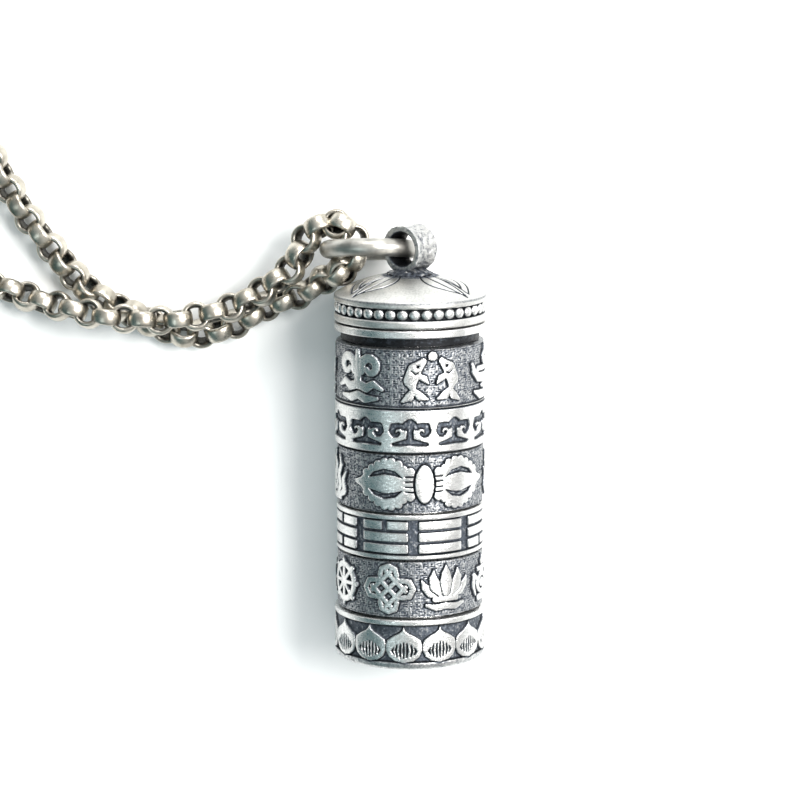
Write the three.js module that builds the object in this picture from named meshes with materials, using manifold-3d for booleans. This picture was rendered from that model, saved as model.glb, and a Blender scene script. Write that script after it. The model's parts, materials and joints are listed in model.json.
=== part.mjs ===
// A prayer wheel pendant, lying on its side with its chain beside it.
// The wheel's axis is +Y, from the base end to the cap. The origin is the centre of the base's
// end face, +Z is up, and all sizes are in millimetres.
import * as THREE from 'three';
import { mergeVertices } from 'three/addons/utils/BufferGeometryUtils.js';
import Module from 'manifold-3d';

const wasm = await Module();
wasm.setup();

// ---- Driving dimensions -------------------------------------------------------------------
const BODY_RADIUS = 5.05; // cap, collar and base
const RING_RADIUS = 5.0; // the turning rings
const TRIGRAM_RADIUS = 4.95;
const RIM_STEP = 0.2; // depth of the ground between a ring's rims
const RIM_WIDTH = 0.3;
const CORE_RADIUS = 4.2;
const CHAMBER_RADIUS = 3.5;
const NECK_RADIUS = 3.9;
const RING_BORE = 4.3;
const FIT_GAP = 0.05; // between fixed neighbours

const BASE_TOP = 3.45;
const BASE_FLOOR = 0.8;
const STACK = { seal: 3.48, trigram: 7.45, vajra: 10.5, cloud: 14.6, chant: 17.5, top: 21.56 };
const RING_PLAY = 0.03; // each ring's end clearance, at each end
const COLLAR_SPIGOT = 4.6;
const COLLAR_BOTTOM = 21.6;
const COLLAR_STEP = 22.15;
const COLLAR_TOP = 22.66;
const NECK_TOP = 23.75;

const CAP_BOTTOM = 22.8;
const CAP_RIM_TOP = 23.3;
const BEAD_CHANNEL_RADIUS = 4.8;
const BEAD_CHANNEL_TOP = 24.1;
const DOME_EDGE = 24.5;
const DOME_TOP = 25.9;
const CAP_BORE = 4.5;
const CAP_CEILING = 24.25;
const BUSH_BORE = 4.0;

const SCROLL_RADIUS = 2.9;
const SCROLL_BOTTOM = 0.9;
const SCROLL_TOP = 16.8;
const SPINDLE_RADIUS = 0.6;
const SPINDLE_TOP = 17.8;
const TIE_THICKNESS = 0.2;
const TIE_WIDTH = 0.8;

const BAIL_CENTRE = new THREE.Vector3(0, 27.5, 0);
const BAIL_AXIS = new THREE.Vector3(-0.643, 0, 0.766).normalize();
const BAIL_RADIUS = 1.55;
const BAIL_HOLE = 1.15;
const BAIL_WIDTH = 1.5;
const BAIL_FOOT_RADIUS = 1.25;
const BAIL_FOOT_HEIGHT = 0.38;

const JUMP_RING_CENTRE = new THREE.Vector3(-2.65, 27.2, -1.67);
const JUMP_RING_CIRCLE = 2.8; // radius of the wire's circle
const JUMP_RING_WIRE = 0.55;
const JUMP_RING_LEAN = 10; // degrees that the ring leans from upright

const FLOOR = -BODY_RADIUS;
const CHAIN_RADIUS = 0.95;
const CHAIN_SIDES = 8;
const SADDLE_CENTRE = new THREE.Vector3(-4.95, 27.3, -1.7);
const SADDLE_BEND = 1.55;
const SADDLE_HALF_ANGLE = 70; // degrees each way round the ring's wire

const COIL_CENTRE = new THREE.Vector2(-45.4, 35.0);
const COIL_OUTER = 16.0;
const COIL_INNER = 6.4;
const COIL_HEIGHT = 4.0;

// The clasp lies in the middle of the coil. Its own plane has u along it, from the eye to the
// hook, and v across it.
const CLASP_EYE = new THREE.Vector2(-45.4, 38.6);
const CLASP_BOTTOM = FLOOR + 0.75;
const CLASP_THICKNESS = 1.25;
const CLASP_SLOT = 0.65;
const HOOK_CENTRE_U = 5.25;
const HOOK_INNER = 1.6;
const LEVER_INNER = 1.1;
const LEVER_TIP_ANGLE = 62;
const HOOK_OUTER = 2.5;
const EYE_RADIUS = 1.0;
const EYE_HOLE = 0.5;
const PIN_RADIUS = 0.25;
const PIN_ANGLE = 158; // degrees round the hook's centre, from the tip
const CLASP_RING = { circle: 1.15, wire: 0.25, u: -0.5 };
const TAIL_RING = { circle: 1.5, wire: 0.3, u: 7.3 };

const ROUND = 44; // segments round the wheel

// ---- Finishes -----------------------------------------------------------------------------
const finish = (color, roughness, metalness) =>
  new THREE.MeshStandardMaterial({ color, roughness, metalness });
const oxidisedSilver = () => finish(0xb4b7ba, 0.35, 1.0);
const polishedSilver = () => finish(0xd2d3d2, 0.25, 1.0);
const chainSilver = () => finish(0xc8c0b2, 0.3, 1.0);
const paper = () => finish(0xd8c79a, 0.85, 0.0);

const prayerWheel = new THREE.Group();

// ---- Geometry helpers ---------------------------------------------------------------------
/** A closed mesh as a manifold solid. */
function toSolid(geometry) {
  const bare = geometry.clone();
  bare.deleteAttribute('normal');
  bare.deleteAttribute('uv');
  const merged = mergeVertices(bare, 1e-4);
  return new wasm.Manifold(new wasm.Mesh({
    numProp: 3,
    vertProperties: new Float32Array(merged.attributes.position.array),
    triVerts: new Uint32Array(merged.index.array),
  }));
}

/** A manifold solid as a geometry. */
function toGeometry(solid) {
  const mesh = solid.getMesh();
  const geometry = new THREE.BufferGeometry();
  geometry.setAttribute('position', new THREE.BufferAttribute(mesh.vertProperties, 3));
  geometry.setIndex(new THREE.BufferAttribute(mesh.triVerts, 1));
  geometry.computeVertexNormals();
  return geometry;
}

function addPiece(name, geometry, material) {
  const piece = new THREE.Mesh(geometry, material);
  piece.name = name;
  prayerWheel.add(piece);
}

/** Turns a closed [radius, height] outline about the Y axis. */
function turned(outline, segments = ROUND) {
  const points = outline.map(([radius, height]) => new THREE.Vector2(radius, height));
  return new THREE.LatheGeometry([...points, points[0]], segments);
}

/** Turns an outline that starts and ends on the Y axis. */
function turnedSolid(outline, segments = ROUND) {
  return new THREE.LatheGeometry(outline.map(([r, y]) => new THREE.Vector2(r, y)), segments);
}

/** A plain sleeve about the Y axis. */
const sleeve = (inner, outer, bottom, top, segments = ROUND) =>
  turned([[inner, bottom], [outer, bottom], [outer, top], [inner, top]], segments);

/** A round tube along a curve, closed at both ends. */
function tubeAlong(curve, radius, sides, steps) {
  const section = new THREE.Shape();
  for (let i = 0; i < sides; i++) {
    const angle = (i + 0.5) * 2 * Math.PI / sides;
    const [x, y] = [radius * Math.cos(angle), radius * Math.sin(angle)];
    if (i === 0) section.moveTo(x, y); else section.lineTo(x, y);
  }
  section.closePath();
  return new THREE.ExtrudeGeometry(section, { steps, bevelEnabled: false, extrudePath: curve });
}

// ---- Barrel: base cup, core tube, collar --------------------------------------------------
function buildBase() {
  const edge = 0.45;
  const bore = CORE_RADIUS + FIT_GAP;
  addPiece('base_cup', turnedSolid([
    [0, 0], [BODY_RADIUS - edge, 0], [BODY_RADIUS - 0.13, 0.16], [BODY_RADIUS, edge],
    [BODY_RADIUS, BASE_TOP - RING_PLAY], [bore, BASE_TOP - RING_PLAY], [bore, BASE_FLOOR],
    [0, BASE_FLOOR],
  ]), oxidisedSilver());
}

function buildCoreTube() {
  addPiece('core_tube', turned([
    [CHAMBER_RADIUS, BASE_FLOOR + FIT_GAP], [CORE_RADIUS, BASE_FLOOR + FIT_GAP],
    [CORE_RADIUS, COLLAR_TOP], [NECK_RADIUS, COLLAR_TOP + 0.1], [NECK_RADIUS, NECK_TOP - 0.1],
    [NECK_RADIUS - 0.1, NECK_TOP], [CHAMBER_RADIUS, NECK_TOP],
  ]), polishedSilver());
}

function buildCollar() {
  const bore = CORE_RADIUS + FIT_GAP;
  addPiece('retaining_collar', turned([
    [bore, COLLAR_BOTTOM], [COLLAR_SPIGOT, COLLAR_BOTTOM], [COLLAR_SPIGOT, COLLAR_STEP],
    [BODY_RADIUS, COLLAR_STEP], [BODY_RADIUS, COLLAR_TOP], [bore, COLLAR_TOP],
  ]), polishedSilver());
}

// ---- The five turning rings ---------------------------------------------------------------
/** A ring with a rim at each end and a ground sunk between the rims. */
function buildRing(name, from, to, radius) {
  const [bottom, top] = [from + RING_PLAY, to - RING_PLAY];
  const ground = radius - RIM_STEP;
  addPiece(name, turned([
    [RING_BORE, bottom], [radius, bottom], [radius, bottom + RIM_WIDTH],
    [ground, bottom + RIM_WIDTH], [ground, top - RIM_WIDTH], [radius, top - RIM_WIDTH],
    [radius, top], [RING_BORE, top],
  ]), oxidisedSilver());
}

function buildRings() {
  buildRing('ring_seal', STACK.seal, STACK.trigram, RING_RADIUS);
  buildRing('ring_trigram', STACK.trigram, STACK.vajra, TRIGRAM_RADIUS);
  buildRing('ring_vajra', STACK.vajra, STACK.cloud, RING_RADIUS);
  buildRing('ring_cloud', STACK.cloud, STACK.chant, RING_RADIUS);
  buildRing('ring_chant', STACK.chant, STACK.top, RING_RADIUS);
}

// ---- Cap ----------------------------------------------------------------------------------
/** The dome's outline from its edge to the axis: a flat arc. */
function domeOutline(steps) {
  const rise = DOME_TOP - DOME_EDGE;
  const sphere = (BODY_RADIUS ** 2 + rise ** 2) / (2 * rise);
  const outline = [];
  for (let i = 0; i <= steps; i++) {
    const radius = BODY_RADIUS * (1 - i / steps);
    outline.push([radius, DOME_TOP - sphere + Math.sqrt(sphere ** 2 - radius ** 2)]);
  }
  return outline;
}

function buildCap() {
  addPiece('cap_shell', turnedSolid([
    [0, CAP_CEILING], [CAP_BORE, CAP_CEILING], [CAP_BORE, CAP_BOTTOM], [BODY_RADIUS, CAP_BOTTOM],
    [BODY_RADIUS, CAP_RIM_TOP], [BEAD_CHANNEL_RADIUS, CAP_RIM_TOP + 0.05],
    [BEAD_CHANNEL_RADIUS, BEAD_CHANNEL_TOP - 0.1], [BODY_RADIUS, BEAD_CHANNEL_TOP],
    ...domeOutline(8),
  ]), oxidisedSilver());
  addPiece('cap_bush', sleeve(BUSH_BORE, CAP_BORE - FIT_GAP, CAP_BOTTOM + 0.05, NECK_TOP),
    polishedSilver());
  addPiece('cap_gasket',
    sleeve(CHAMBER_RADIUS, NECK_RADIUS, NECK_TOP + 0.04, CAP_CEILING - FIT_GAP, 40),
    finish(0x303234, 0.7, 0.0));
}

/** Turns a geometry made about +Y to lie about the bail's axis, at the bail's centre. */
function aboutBail(geometry) {
  const turn = new THREE.Quaternion().setFromUnitVectors(new THREE.Vector3(0, 1, 0), BAIL_AXIS);
  return geometry.applyQuaternion(turn).translate(BAIL_CENTRE.x, BAIL_CENTRE.y, BAIL_CENTRE.z);
}

function buildBail() {
  const half = BAIL_WIDTH / 2;
  const loop = toSolid(aboutBail(turned([
    [BAIL_HOLE, -half + 0.1], [BAIL_HOLE + 0.1, -half], [BAIL_RADIUS - 0.15, -half],
    [BAIL_RADIUS, -half + 0.2], [BAIL_RADIUS, half - 0.2], [BAIL_RADIUS - 0.15, half],
    [BAIL_HOLE + 0.1, half], [BAIL_HOLE, half - 0.1],
  ], 36)));
  const footBottom = DOME_TOP + FIT_GAP;
  const foot = toSolid(new THREE.CylinderGeometry(
    BAIL_FOOT_RADIUS * 0.7, BAIL_FOOT_RADIUS, BAIL_FOOT_HEIGHT, 24,
  ).translate(0, footBottom + BAIL_FOOT_HEIGHT / 2, 0));
  const hole = toSolid(aboutBail(new THREE.CylinderGeometry(BAIL_HOLE, BAIL_HOLE, 4, 36)));
  addPiece('bail_loop', toGeometry(loop.add(foot.subtract(hole))), oxidisedSilver());
}

function buildJumpRing() {
  addPiece('jump_ring', new THREE.TorusGeometry(JUMP_RING_CIRCLE, JUMP_RING_WIRE, 10, 36)
    .rotateX(THREE.MathUtils.degToRad(90 - JUMP_RING_LEAN))
    .translate(...JUMP_RING_CENTRE), chainSilver());
}

// ---- Scroll -------------------------------------------------------------------------------
function buildScroll() {
  addPiece('prayer_scroll',
    sleeve(SPINDLE_RADIUS + FIT_GAP, SCROLL_RADIUS, SCROLL_BOTTOM, SCROLL_TOP, 40), paper());
  addPiece('scroll_spindle', turnedSolid([
    [0, SCROLL_BOTTOM], [SPINDLE_RADIUS, SCROLL_BOTTOM], [SPINDLE_RADIUS, SPINDLE_TOP - 0.3],
    [SPINDLE_RADIUS * 0.5, SPINDLE_TOP], [0, SPINDLE_TOP],
  ], 24), finish(0x6b4426, 0.6, 0.0));
  const middle = (SCROLL_BOTTOM + SCROLL_TOP) / 2;
  addPiece('scroll_tie', sleeve(SCROLL_RADIUS + 0.03, SCROLL_RADIUS + 0.03 + TIE_THICKNESS,
    middle - TIE_WIDTH / 2, middle + TIE_WIDTH / 2, 40), finish(0x9c2f24, 0.8, 0.0));
}

// ---- Chain --------------------------------------------------------------------------------
// Each run's route, from the jump ring to the coil. scene.py repeats these points.
const FRONT_ROUTE = [
  [-4.9, 28.88, -1.7], [-5.7, 28.85, -1.75], [-6.55, 28.4, -1.8], [-7.15, 27.45, -1.9],
  [-7.5, 26.5, -2.0], [-8.2, 25.6, -2.1], [-9.4, 24.65, -2.2], [-10.6, 23.8, -2.3],
  [-11.7, 23.3, -2.3], [-12.75, 22.95, -2.3], [-14.15, 22.65, -2.2], [-15.1, 22.5, -2.1],
  [-16.3, 22.4, -2.0], [-17.4, 22.4, -2.0], [-18.8, 22.45, -2.0], [-20.0, 22.55, -2.0],
  [-21.5, 22.8, -2.1], [-23.1, 23.1, -2.8], [-24.7, 23.35, -3.5], [-26.3, 23.85, -4.0],
  [-27.7, 24.3, -4.05], [-29.6, 24.5, -4.05], [-32.1, 24.45, -4.05],
];
const BACK_ROUTE = [
  [-4.9, 25.65, -1.85], [-5.5, 25.25, -2.3], [-6.65, 24.4, -3.1], [-7.95, 23.7, -3.75],
  [-9.6, 23.1, -4.05], [-10.8, 22.35, -4.05], [-12.0, 21.75, -4.05], [-13.6, 21.25, -4.05],
  [-14.9, 21.15, -4.05], [-16.0, 21.35, -4.05], [-17.6, 21.95, -4.05], [-19.1, 22.65, -4.05],
  [-20.4, 23.25, -4.05], [-21.65, 24.1, -4.05], [-23.1, 25.65, -4.05], [-24.65, 27.7, -4.05],
  [-26.05, 29.6, -4.05], [-27.1, 31.45, -4.05], [-28.1, 33.3, -4.0],
];
const RUN_STEPS = 16;

function buildRun(name, route) {
  const curve = new THREE.CatmullRomCurve3(route.map((point) => new THREE.Vector3(...point)));
  addPiece(name, tubeAlong(curve, CHAIN_RADIUS, CHAIN_SIDES, RUN_STEPS), chainSilver());
}

/** The links that pass through the jump ring, round its wire. */
function buildSaddle() {
  const steps = 6;
  const points = [];
  for (let i = 0; i <= steps; i++) {
    const angle = THREE.MathUtils.degToRad(SADDLE_HALF_ANGLE * (1 - 2 * i / steps));
    points.push(new THREE.Vector3(
      SADDLE_CENTRE.x + SADDLE_BEND * Math.cos(angle),
      SADDLE_CENTRE.y + SADDLE_BEND * Math.sin(angle),
      SADDLE_CENTRE.z,
    ));
  }
  const curve = new THREE.CatmullRomCurve3(points);
  addPiece('chain_saddle', tubeAlong(curve, CHAIN_RADIUS - 0.05, CHAIN_SIDES, steps),
    chainSilver());
}

/** The rest of both strands, wound in two layers: their outer shape. */
function buildCoil() {
  const round = 0.6;
  addPiece('chain_coil', turned([
    [COIL_INNER, round], [COIL_INNER + round, 0], [COIL_OUTER - round, 0], [COIL_OUTER, round],
    [COIL_OUTER, COIL_HEIGHT - round], [COIL_OUTER - round, COIL_HEIGHT],
    [COIL_INNER + round, COIL_HEIGHT], [COIL_INNER, COIL_HEIGHT - round],
  ], 48).rotateX(Math.PI / 2).translate(COIL_CENTRE.x, COIL_CENTRE.y, FLOOR), chainSilver());
}

// ---- Clasp --------------------------------------------------------------------------------
/** Puts a piece drawn in the clasp's plane, standing on z = 0, into its place. */
function placeClasp(geometry, bottom) {
  return geometry.rotateZ(-Math.PI / 2).translate(CLASP_EYE.x, CLASP_EYE.y, bottom);
}

/** A stretch of the hook's ring between two angles, in degrees, drawn in the clasp's plane. */
function hookSector(from, to, inner = HOOK_INNER, outer = HOOK_OUTER) {
  const steps = Math.max(3, Math.round((to - from) / 10));
  const arc = (radius, step) => {
    const angle = THREE.MathUtils.degToRad(from + (to - from) * step / steps);
    return new THREE.Vector2(HOOK_CENTRE_U + radius * Math.cos(angle), radius * Math.sin(angle));
  };
  const points = [];
  for (let i = 0; i <= steps; i++) points.push(arc(outer, i));
  for (let i = steps; i >= 0; i--) points.push(arc(inner, i));
  return new THREE.Shape(points);
}

const slab = (shape, depth) => new THREE.ExtrudeGeometry(shape, { depth, bevelEnabled: false });

function pinPlace() {
  const angle = THREE.MathUtils.degToRad(PIN_ANGLE);
  const middle = (HOOK_INNER + HOOK_OUTER) / 2;
  return new THREE.Vector2(HOOK_CENTRE_U + middle * Math.cos(angle), middle * Math.sin(angle));
}

function upright(radius, height, u, v, sides = 20) {
  return new THREE.CylinderGeometry(radius, radius, height, sides)
    .rotateX(Math.PI / 2).translate(u, v, height / 2);
}

function buildClasp() {
  const pin = pinPlace();
  const slotFloor = (CLASP_THICKNESS - CLASP_SLOT) / 2;
  const block = new THREE.Shape([
    new THREE.Vector2(0.9, -0.7), new THREE.Vector2(2.2, -1.35), new THREE.Vector2(3.5, -1.75),
    new THREE.Vector2(3.62, -0.3), new THREE.Vector2(3.9, 1.1), new THREE.Vector2(3.0, 1.5),
    new THREE.Vector2(1.9, 1.2), new THREE.Vector2(0.9, 0.7),
  ]);
  const leverSpace = new THREE.Shape([
    new THREE.Vector2(2.2, 0), new THREE.Vector2(3.3, -0.6), new THREE.Vector2(4.4, 0.4),
    new THREE.Vector2(4.6, 3.0), new THREE.Vector2(2.0, 3.0),
  ]);
  const eye = upright(EYE_RADIUS, CLASP_THICKNESS, 0.6, 0);
  const body = toSolid(slab(hookSector(-155, 82), CLASP_THICKNESS))
    .add(toSolid(slab(block, CLASP_THICKNESS)))
    .add(toSolid(eye))
    .subtract(toSolid(upright(EYE_HOLE, 4, 0.6, 0).translate(0, 0, -1)))
    .subtract(toSolid(slab(leverSpace, CLASP_SLOT).translate(0, 0, slotFloor)))
    .subtract(toSolid(upright(PIN_RADIUS + FIT_GAP, 4, pin.x, pin.y).translate(0, 0, -1)));
  addPiece('clasp_body', placeClasp(toGeometry(body), CLASP_BOTTOM), chainSilver());

  const armThickness = CLASP_SLOT - 0.1;
  const thumb = new THREE.Shape([
    new THREE.Vector2(3.3, 1.75), new THREE.Vector2(3.9, 1.7), new THREE.Vector2(3.35, 3.0),
    new THREE.Vector2(2.8, 3.1), new THREE.Vector2(2.75, 2.8),
  ]);
  // The arm closes against the inside of the hook's nose, and turns inwards about the pin.
  const lever = toSolid(slab(
    hookSector(LEVER_TIP_ANGLE, 150, LEVER_INNER, HOOK_INNER - FIT_GAP), armThickness,
  ))
    .add(toSolid(slab(hookSector(110, 166, LEVER_INNER), armThickness)))
    .add(toSolid(slab(thumb, armThickness)))
    .subtract(toSolid(upright(PIN_RADIUS + FIT_GAP, 4, pin.x, pin.y).translate(0, 0, -1)));
  addPiece('clasp_lever',
    placeClasp(toGeometry(lever), CLASP_BOTTOM + slotFloor + FIT_GAP), chainSilver());

  addPiece('clasp_pin',
    placeClasp(upright(PIN_RADIUS, CLASP_THICKNESS, pin.x, pin.y), CLASP_BOTTOM),
    polishedSilver());

  const springWire = 0.1;
  const spring = new THREE.CatmullRomCurve3([
    new THREE.Vector3(2.95, -0.2, 0), new THREE.Vector3(2.6, 0.05, 0),
    new THREE.Vector3(2.5, 0.35, 0), new THREE.Vector3(2.75, 0.55, 0),
  ]);
  addPiece('clasp_spring', placeClasp(
    tubeAlong(spring, springWire, 6, 8), CLASP_BOTTOM + CLASP_THICKNESS / 2,
  ), polishedSilver());

  for (const [name, ring] of [['clasp_ring', CLASP_RING], ['tail_ring', TAIL_RING]]) {
    addPiece(name, placeClasp(
      new THREE.TorusGeometry(ring.circle, ring.wire, 8, 20).rotateX(Math.PI / 2)
        .translate(ring.u, 0, ring.circle + ring.wire),
      FLOOR,
    ), chainSilver());
  }
}

buildBase();
buildCoreTube();
buildCollar();
buildRings();
buildCap();
buildBail();
buildScroll();
buildJumpRing();
buildSaddle();
buildRun('chain_front_run', FRONT_ROUTE);
buildRun('chain_back_run', BACK_ROUTE);
buildCoil();
buildClasp();

export default prayerWheel;
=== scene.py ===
"""A prayer wheel pendant of oxidised silver, lying on its side with its chain beside it.

The wheel's axis is +Y. Drawing sizes are in millimetres and are turned into metres when a mesh
is made; places come from the frame.
"""

import json
import logging
import math
import random
from dataclasses import dataclass, field
from enum import Enum
from typing import Callable, ClassVar, Sequence

import bpy
import numpy as np
from mathutils import Matrix, Vector, noise


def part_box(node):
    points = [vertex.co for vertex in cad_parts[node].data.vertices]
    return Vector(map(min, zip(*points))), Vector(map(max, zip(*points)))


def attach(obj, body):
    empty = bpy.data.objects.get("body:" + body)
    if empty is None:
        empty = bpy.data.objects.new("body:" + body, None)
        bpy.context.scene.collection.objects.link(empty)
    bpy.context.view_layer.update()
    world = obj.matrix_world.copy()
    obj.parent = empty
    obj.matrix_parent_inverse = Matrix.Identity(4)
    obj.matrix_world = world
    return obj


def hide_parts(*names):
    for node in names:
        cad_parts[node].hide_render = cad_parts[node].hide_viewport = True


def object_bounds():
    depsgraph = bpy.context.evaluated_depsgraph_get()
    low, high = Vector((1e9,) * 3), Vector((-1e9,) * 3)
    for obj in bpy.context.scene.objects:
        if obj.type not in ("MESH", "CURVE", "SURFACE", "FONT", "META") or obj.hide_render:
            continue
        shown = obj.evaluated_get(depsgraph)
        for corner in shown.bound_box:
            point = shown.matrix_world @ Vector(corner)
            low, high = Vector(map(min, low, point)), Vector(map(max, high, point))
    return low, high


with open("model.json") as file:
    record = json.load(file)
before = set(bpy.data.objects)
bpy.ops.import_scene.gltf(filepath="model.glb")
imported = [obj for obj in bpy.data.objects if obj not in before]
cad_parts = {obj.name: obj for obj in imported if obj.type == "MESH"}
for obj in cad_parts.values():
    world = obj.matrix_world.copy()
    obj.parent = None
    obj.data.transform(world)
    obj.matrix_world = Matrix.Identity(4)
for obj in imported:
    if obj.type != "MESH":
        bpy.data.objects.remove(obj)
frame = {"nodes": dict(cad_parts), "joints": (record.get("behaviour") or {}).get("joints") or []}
CAD_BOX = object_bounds()

log = logging.getLogger("prayer_wheel")
MM = 0.001
TURN = 2 * math.pi
# The darkness attribute holds patina in the silver's hollows and painted shade in the bores of the
# chain links and the bail.
PATINA_AND_SHADE = "patina_and_shade"  # the attribute that says how dark each point is
Array = np.ndarray


class Slot(str, Enum):
    """The record's material slots."""

    OXIDISED = "oxidised_silver"
    POLISHED = "polished_silver"
    CHAIN = "chain_silver"
    RUBBER = "seal_rubber"
    PAPER = "scroll_paper"
    WOOD = "spindle_wood"
    THREAD = "tie_thread"


def low(node: str) -> Vector:
    """The node's lowest corner, in millimetres."""
    return Vector(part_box(node)[0]) / MM


def high(node: str) -> Vector:
    """The node's highest corner, in millimetres."""
    return Vector(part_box(node)[1]) / MM


def middle(node: str) -> Vector:
    """The middle of the node's box, in millimetres."""
    return (low(node) + high(node)) / 2


def ends(node: str) -> tuple[float, float]:
    """The node's two ends along the wheel's axis, in millimetres."""
    return low(node).y, high(node).y


# ---- Shader maths ---------------------------------------------------------------------------


class Wire:
    """A shader socket that adds Math nodes when it is used in a Python expression."""

    def __init__(self, tree: bpy.types.NodeTree, socket: bpy.types.NodeSocket) -> None:
        """Holds the tree and the output socket."""
        self.tree = tree
        self.socket = socket

    def _math(self, operation: str, *values: "Wire | float", clamp: bool = False) -> "Wire":
        """Adds a Math node.

        Args:
            operation: the node's operation.
            values: its inputs, in order.
            clamp: whether the result is held between 0 and 1.

        Returns:
            The node's output.
        """
        node = self.tree.nodes.new("ShaderNodeMath")
        node.operation = operation
        node.use_clamp = clamp
        for index, value in enumerate(values):
            if isinstance(value, Wire):
                self.tree.links.new(value.socket, node.inputs[index])
            else:
                node.inputs[index].default_value = value
        return Wire(self.tree, node.outputs[0])

    def __add__(self, other: "Wire | float") -> "Wire":
        """self + other."""
        return self._math("ADD", self, other)

    __radd__ = __add__

    def __sub__(self, other: "Wire | float") -> "Wire":
        """self - other."""
        return self._math("SUBTRACT", self, other)

    def __rsub__(self, other: float) -> "Wire":
        """other - self."""
        return self._math("SUBTRACT", other, self)

    def __mul__(self, other: "Wire | float") -> "Wire":
        """self * other."""
        return self._math("MULTIPLY", self, other)

    __rmul__ = __mul__

    def __truediv__(self, other: "Wire | float") -> "Wire":
        """self / other."""
        return self._math("DIVIDE", self, other)

    def clamped(self) -> "Wire":
        """self, held between 0 and 1."""
        return self._math("ADD", self, 0.0, clamp=True)

    def step(self, start: float, end: float) -> "Wire":
        """0 before start and 1 after end, with a straight ramp between them."""
        return self._math("MULTIPLY", self - start, 1.0 / (end - start), clamp=True)


class Shader:
    """One material's node tree, with its Principled shader."""

    def __init__(self, name: str) -> None:
        """Makes the material."""
        self.material = bpy.data.materials.new(name)
        self.material.use_nodes = True
        self.tree = self.material.node_tree
        self.body = self.tree.nodes["Principled BSDF"]

    def node(
        self, kind: str, output: "str | int" = 0, settings: "dict | None" = None,
        **values: "Wire | float | tuple",
    ) -> Wire:
        """Adds a node.

        Args:
            kind: the node's type.
            output: the output to give back.
            settings: the node's own settings; "stops" fills a ramp.
            values: its inputs by name, with _ for a space.

        Returns:
            The output.
        """
        node = self.tree.nodes.new(kind)
        for key, value in (settings or {}).items():
            if key == "stops":
                self._fill_ramp(node.color_ramp, value)
            else:
                setattr(node, key, value)
        for key, value in values.items():
            self._feed(node.inputs[key.replace("_", " ")], value)
        return Wire(self.tree, node.outputs[output])

    def _fill_ramp(self, ramp: bpy.types.ColorRamp, stops: Sequence[tuple]) -> None:
        """Sets a colour ramp's stops, each a place and a colour."""
        while len(ramp.elements) < len(stops):
            ramp.elements.new(0.5)
        for element, (place, colour) in zip(ramp.elements, stops):
            element.position = place
            element.color = (*colour, 1.0)

    def _feed(self, socket: bpy.types.NodeSocket, value: "Wire | float | tuple") -> None:
        """Links or sets one input."""
        if isinstance(value, Wire):
            self.tree.links.new(value.socket, socket)
        elif isinstance(value, tuple) and len(value) == 3 and socket.type == "RGBA":
            socket.default_value = (*value, 1.0)
        else:
            socket.default_value = value

    def set(self, **values: "Wire | float | tuple") -> None:
        """Sets the Principled shader's inputs by name, with _ for a space."""
        for key, value in values.items():
            self._feed(self.body.inputs[key.replace("_", " ")], value)

    def place(self) -> Wire:
        """Object coordinates."""
        return self.node("ShaderNodeTexCoord", output="Object")

    def patina_and_shade(self) -> Wire:
        """How dark the surface is, from the mesh's own attribute of patina and painted shade, 0 to
        1.
        """
        return self.node("ShaderNodeAttribute", output="Fac", settings={"attribute_name": PATINA_AND_SHADE})

    def noise(self, size_mm: float, detail: float = 3.0, stretch: tuple = (1, 1, 1)) -> Wire:
        """A noise pattern.

        Args:
            size_mm: how large its spots are.
            detail: its octaves.
            stretch: how many times finer it is along each axis.

        Returns:
            The pattern, about 0 to 1.
        """
        scaled = self.node(
            "ShaderNodeMapping", Vector=self.place(), Scale=tuple(float(k) for k in stretch)
        )
        return self.node(
            "ShaderNodeTexNoise", output=0, Vector=scaled, Scale=1.0 / (size_mm * MM),
            Detail=detail,
        )

    def blend(self, factor: "Wire | float", start: "Wire | tuple", end: "Wire | tuple") -> Wire:
        """A mix of two colours."""
        node = self.tree.nodes.new("ShaderNodeMix")
        node.data_type = "RGBA"
        self._feed(node.inputs[0], factor)
        self._feed(node.inputs[6], start)
        self._feed(node.inputs[7], end)
        return Wire(self.tree, node.outputs[2])

    def bump(self, height: Wire, depth_mm: float) -> None:
        """Feeds a bump of the given depth to the shader."""
        self.set(Normal=self.node("ShaderNodeBump", Height=height, Distance=depth_mm * MM))


@dataclass(frozen=True)
class SilverFinish:
    """Silver, bright where it is rubbed and dark in its hollows."""

    name: str
    bright: tuple = (0.74, 0.735, 0.72)
    rubbed: tuple = (0.46, 0.46, 0.46)
    ground: tuple = (0.085, 0.098, 0.12)
    black: tuple = (0.004, 0.005, 0.007)
    polish: float = 0.27
    grain_mm: float = 0.13
    grain_depth_mm: float = 0.012
    patina_and_shade: bool = True

    def build(self) -> bpy.types.Material:
        """Makes the material.

        Returns:
            The material.
        """
        shader = Shader(self.name)
        grain = shader.noise(self.grain_mm, 4.0)
        cloud = shader.noise(1.1, 3.0)
        scratches = shader.noise(0.45, 2.0, stretch=(1, 16, 1)).step(0.42, 0.62)
        # Darkness from the mesh: patina in the hollows, and painted shade in the bail's bore.
        hollow = shader.patina_and_shade() if self.patina_and_shade else cloud.step(0.62, 0.95) * 0.2
        dark = (hollow + (grain - 0.5) * 0.5 * hollow.step(0.05, 0.35)).clamped()
        worn = (cloud.step(0.35, 0.72) * 0.45 + grain.step(0.44, 0.66) * 0.55).clamped()
        face = shader.blend(worn, self.bright, self.rubbed)
        half = shader.blend(dark.step(0.05, 0.5), face, self.ground)
        shader.set(
            Base_Color=shader.blend(dark.step(0.5, 0.95), half, self.black),
            Metallic=1.0 - dark.step(0.2, 0.9) * 0.35,
            Roughness=self.polish + dark.step(0.05, 0.5) * 0.2 + scratches * 0.06
            + (grain - 0.5) * 0.2,
        )
        shader.bump(grain + scratches * 0.3, self.grain_depth_mm)
        return shader.material


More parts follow.
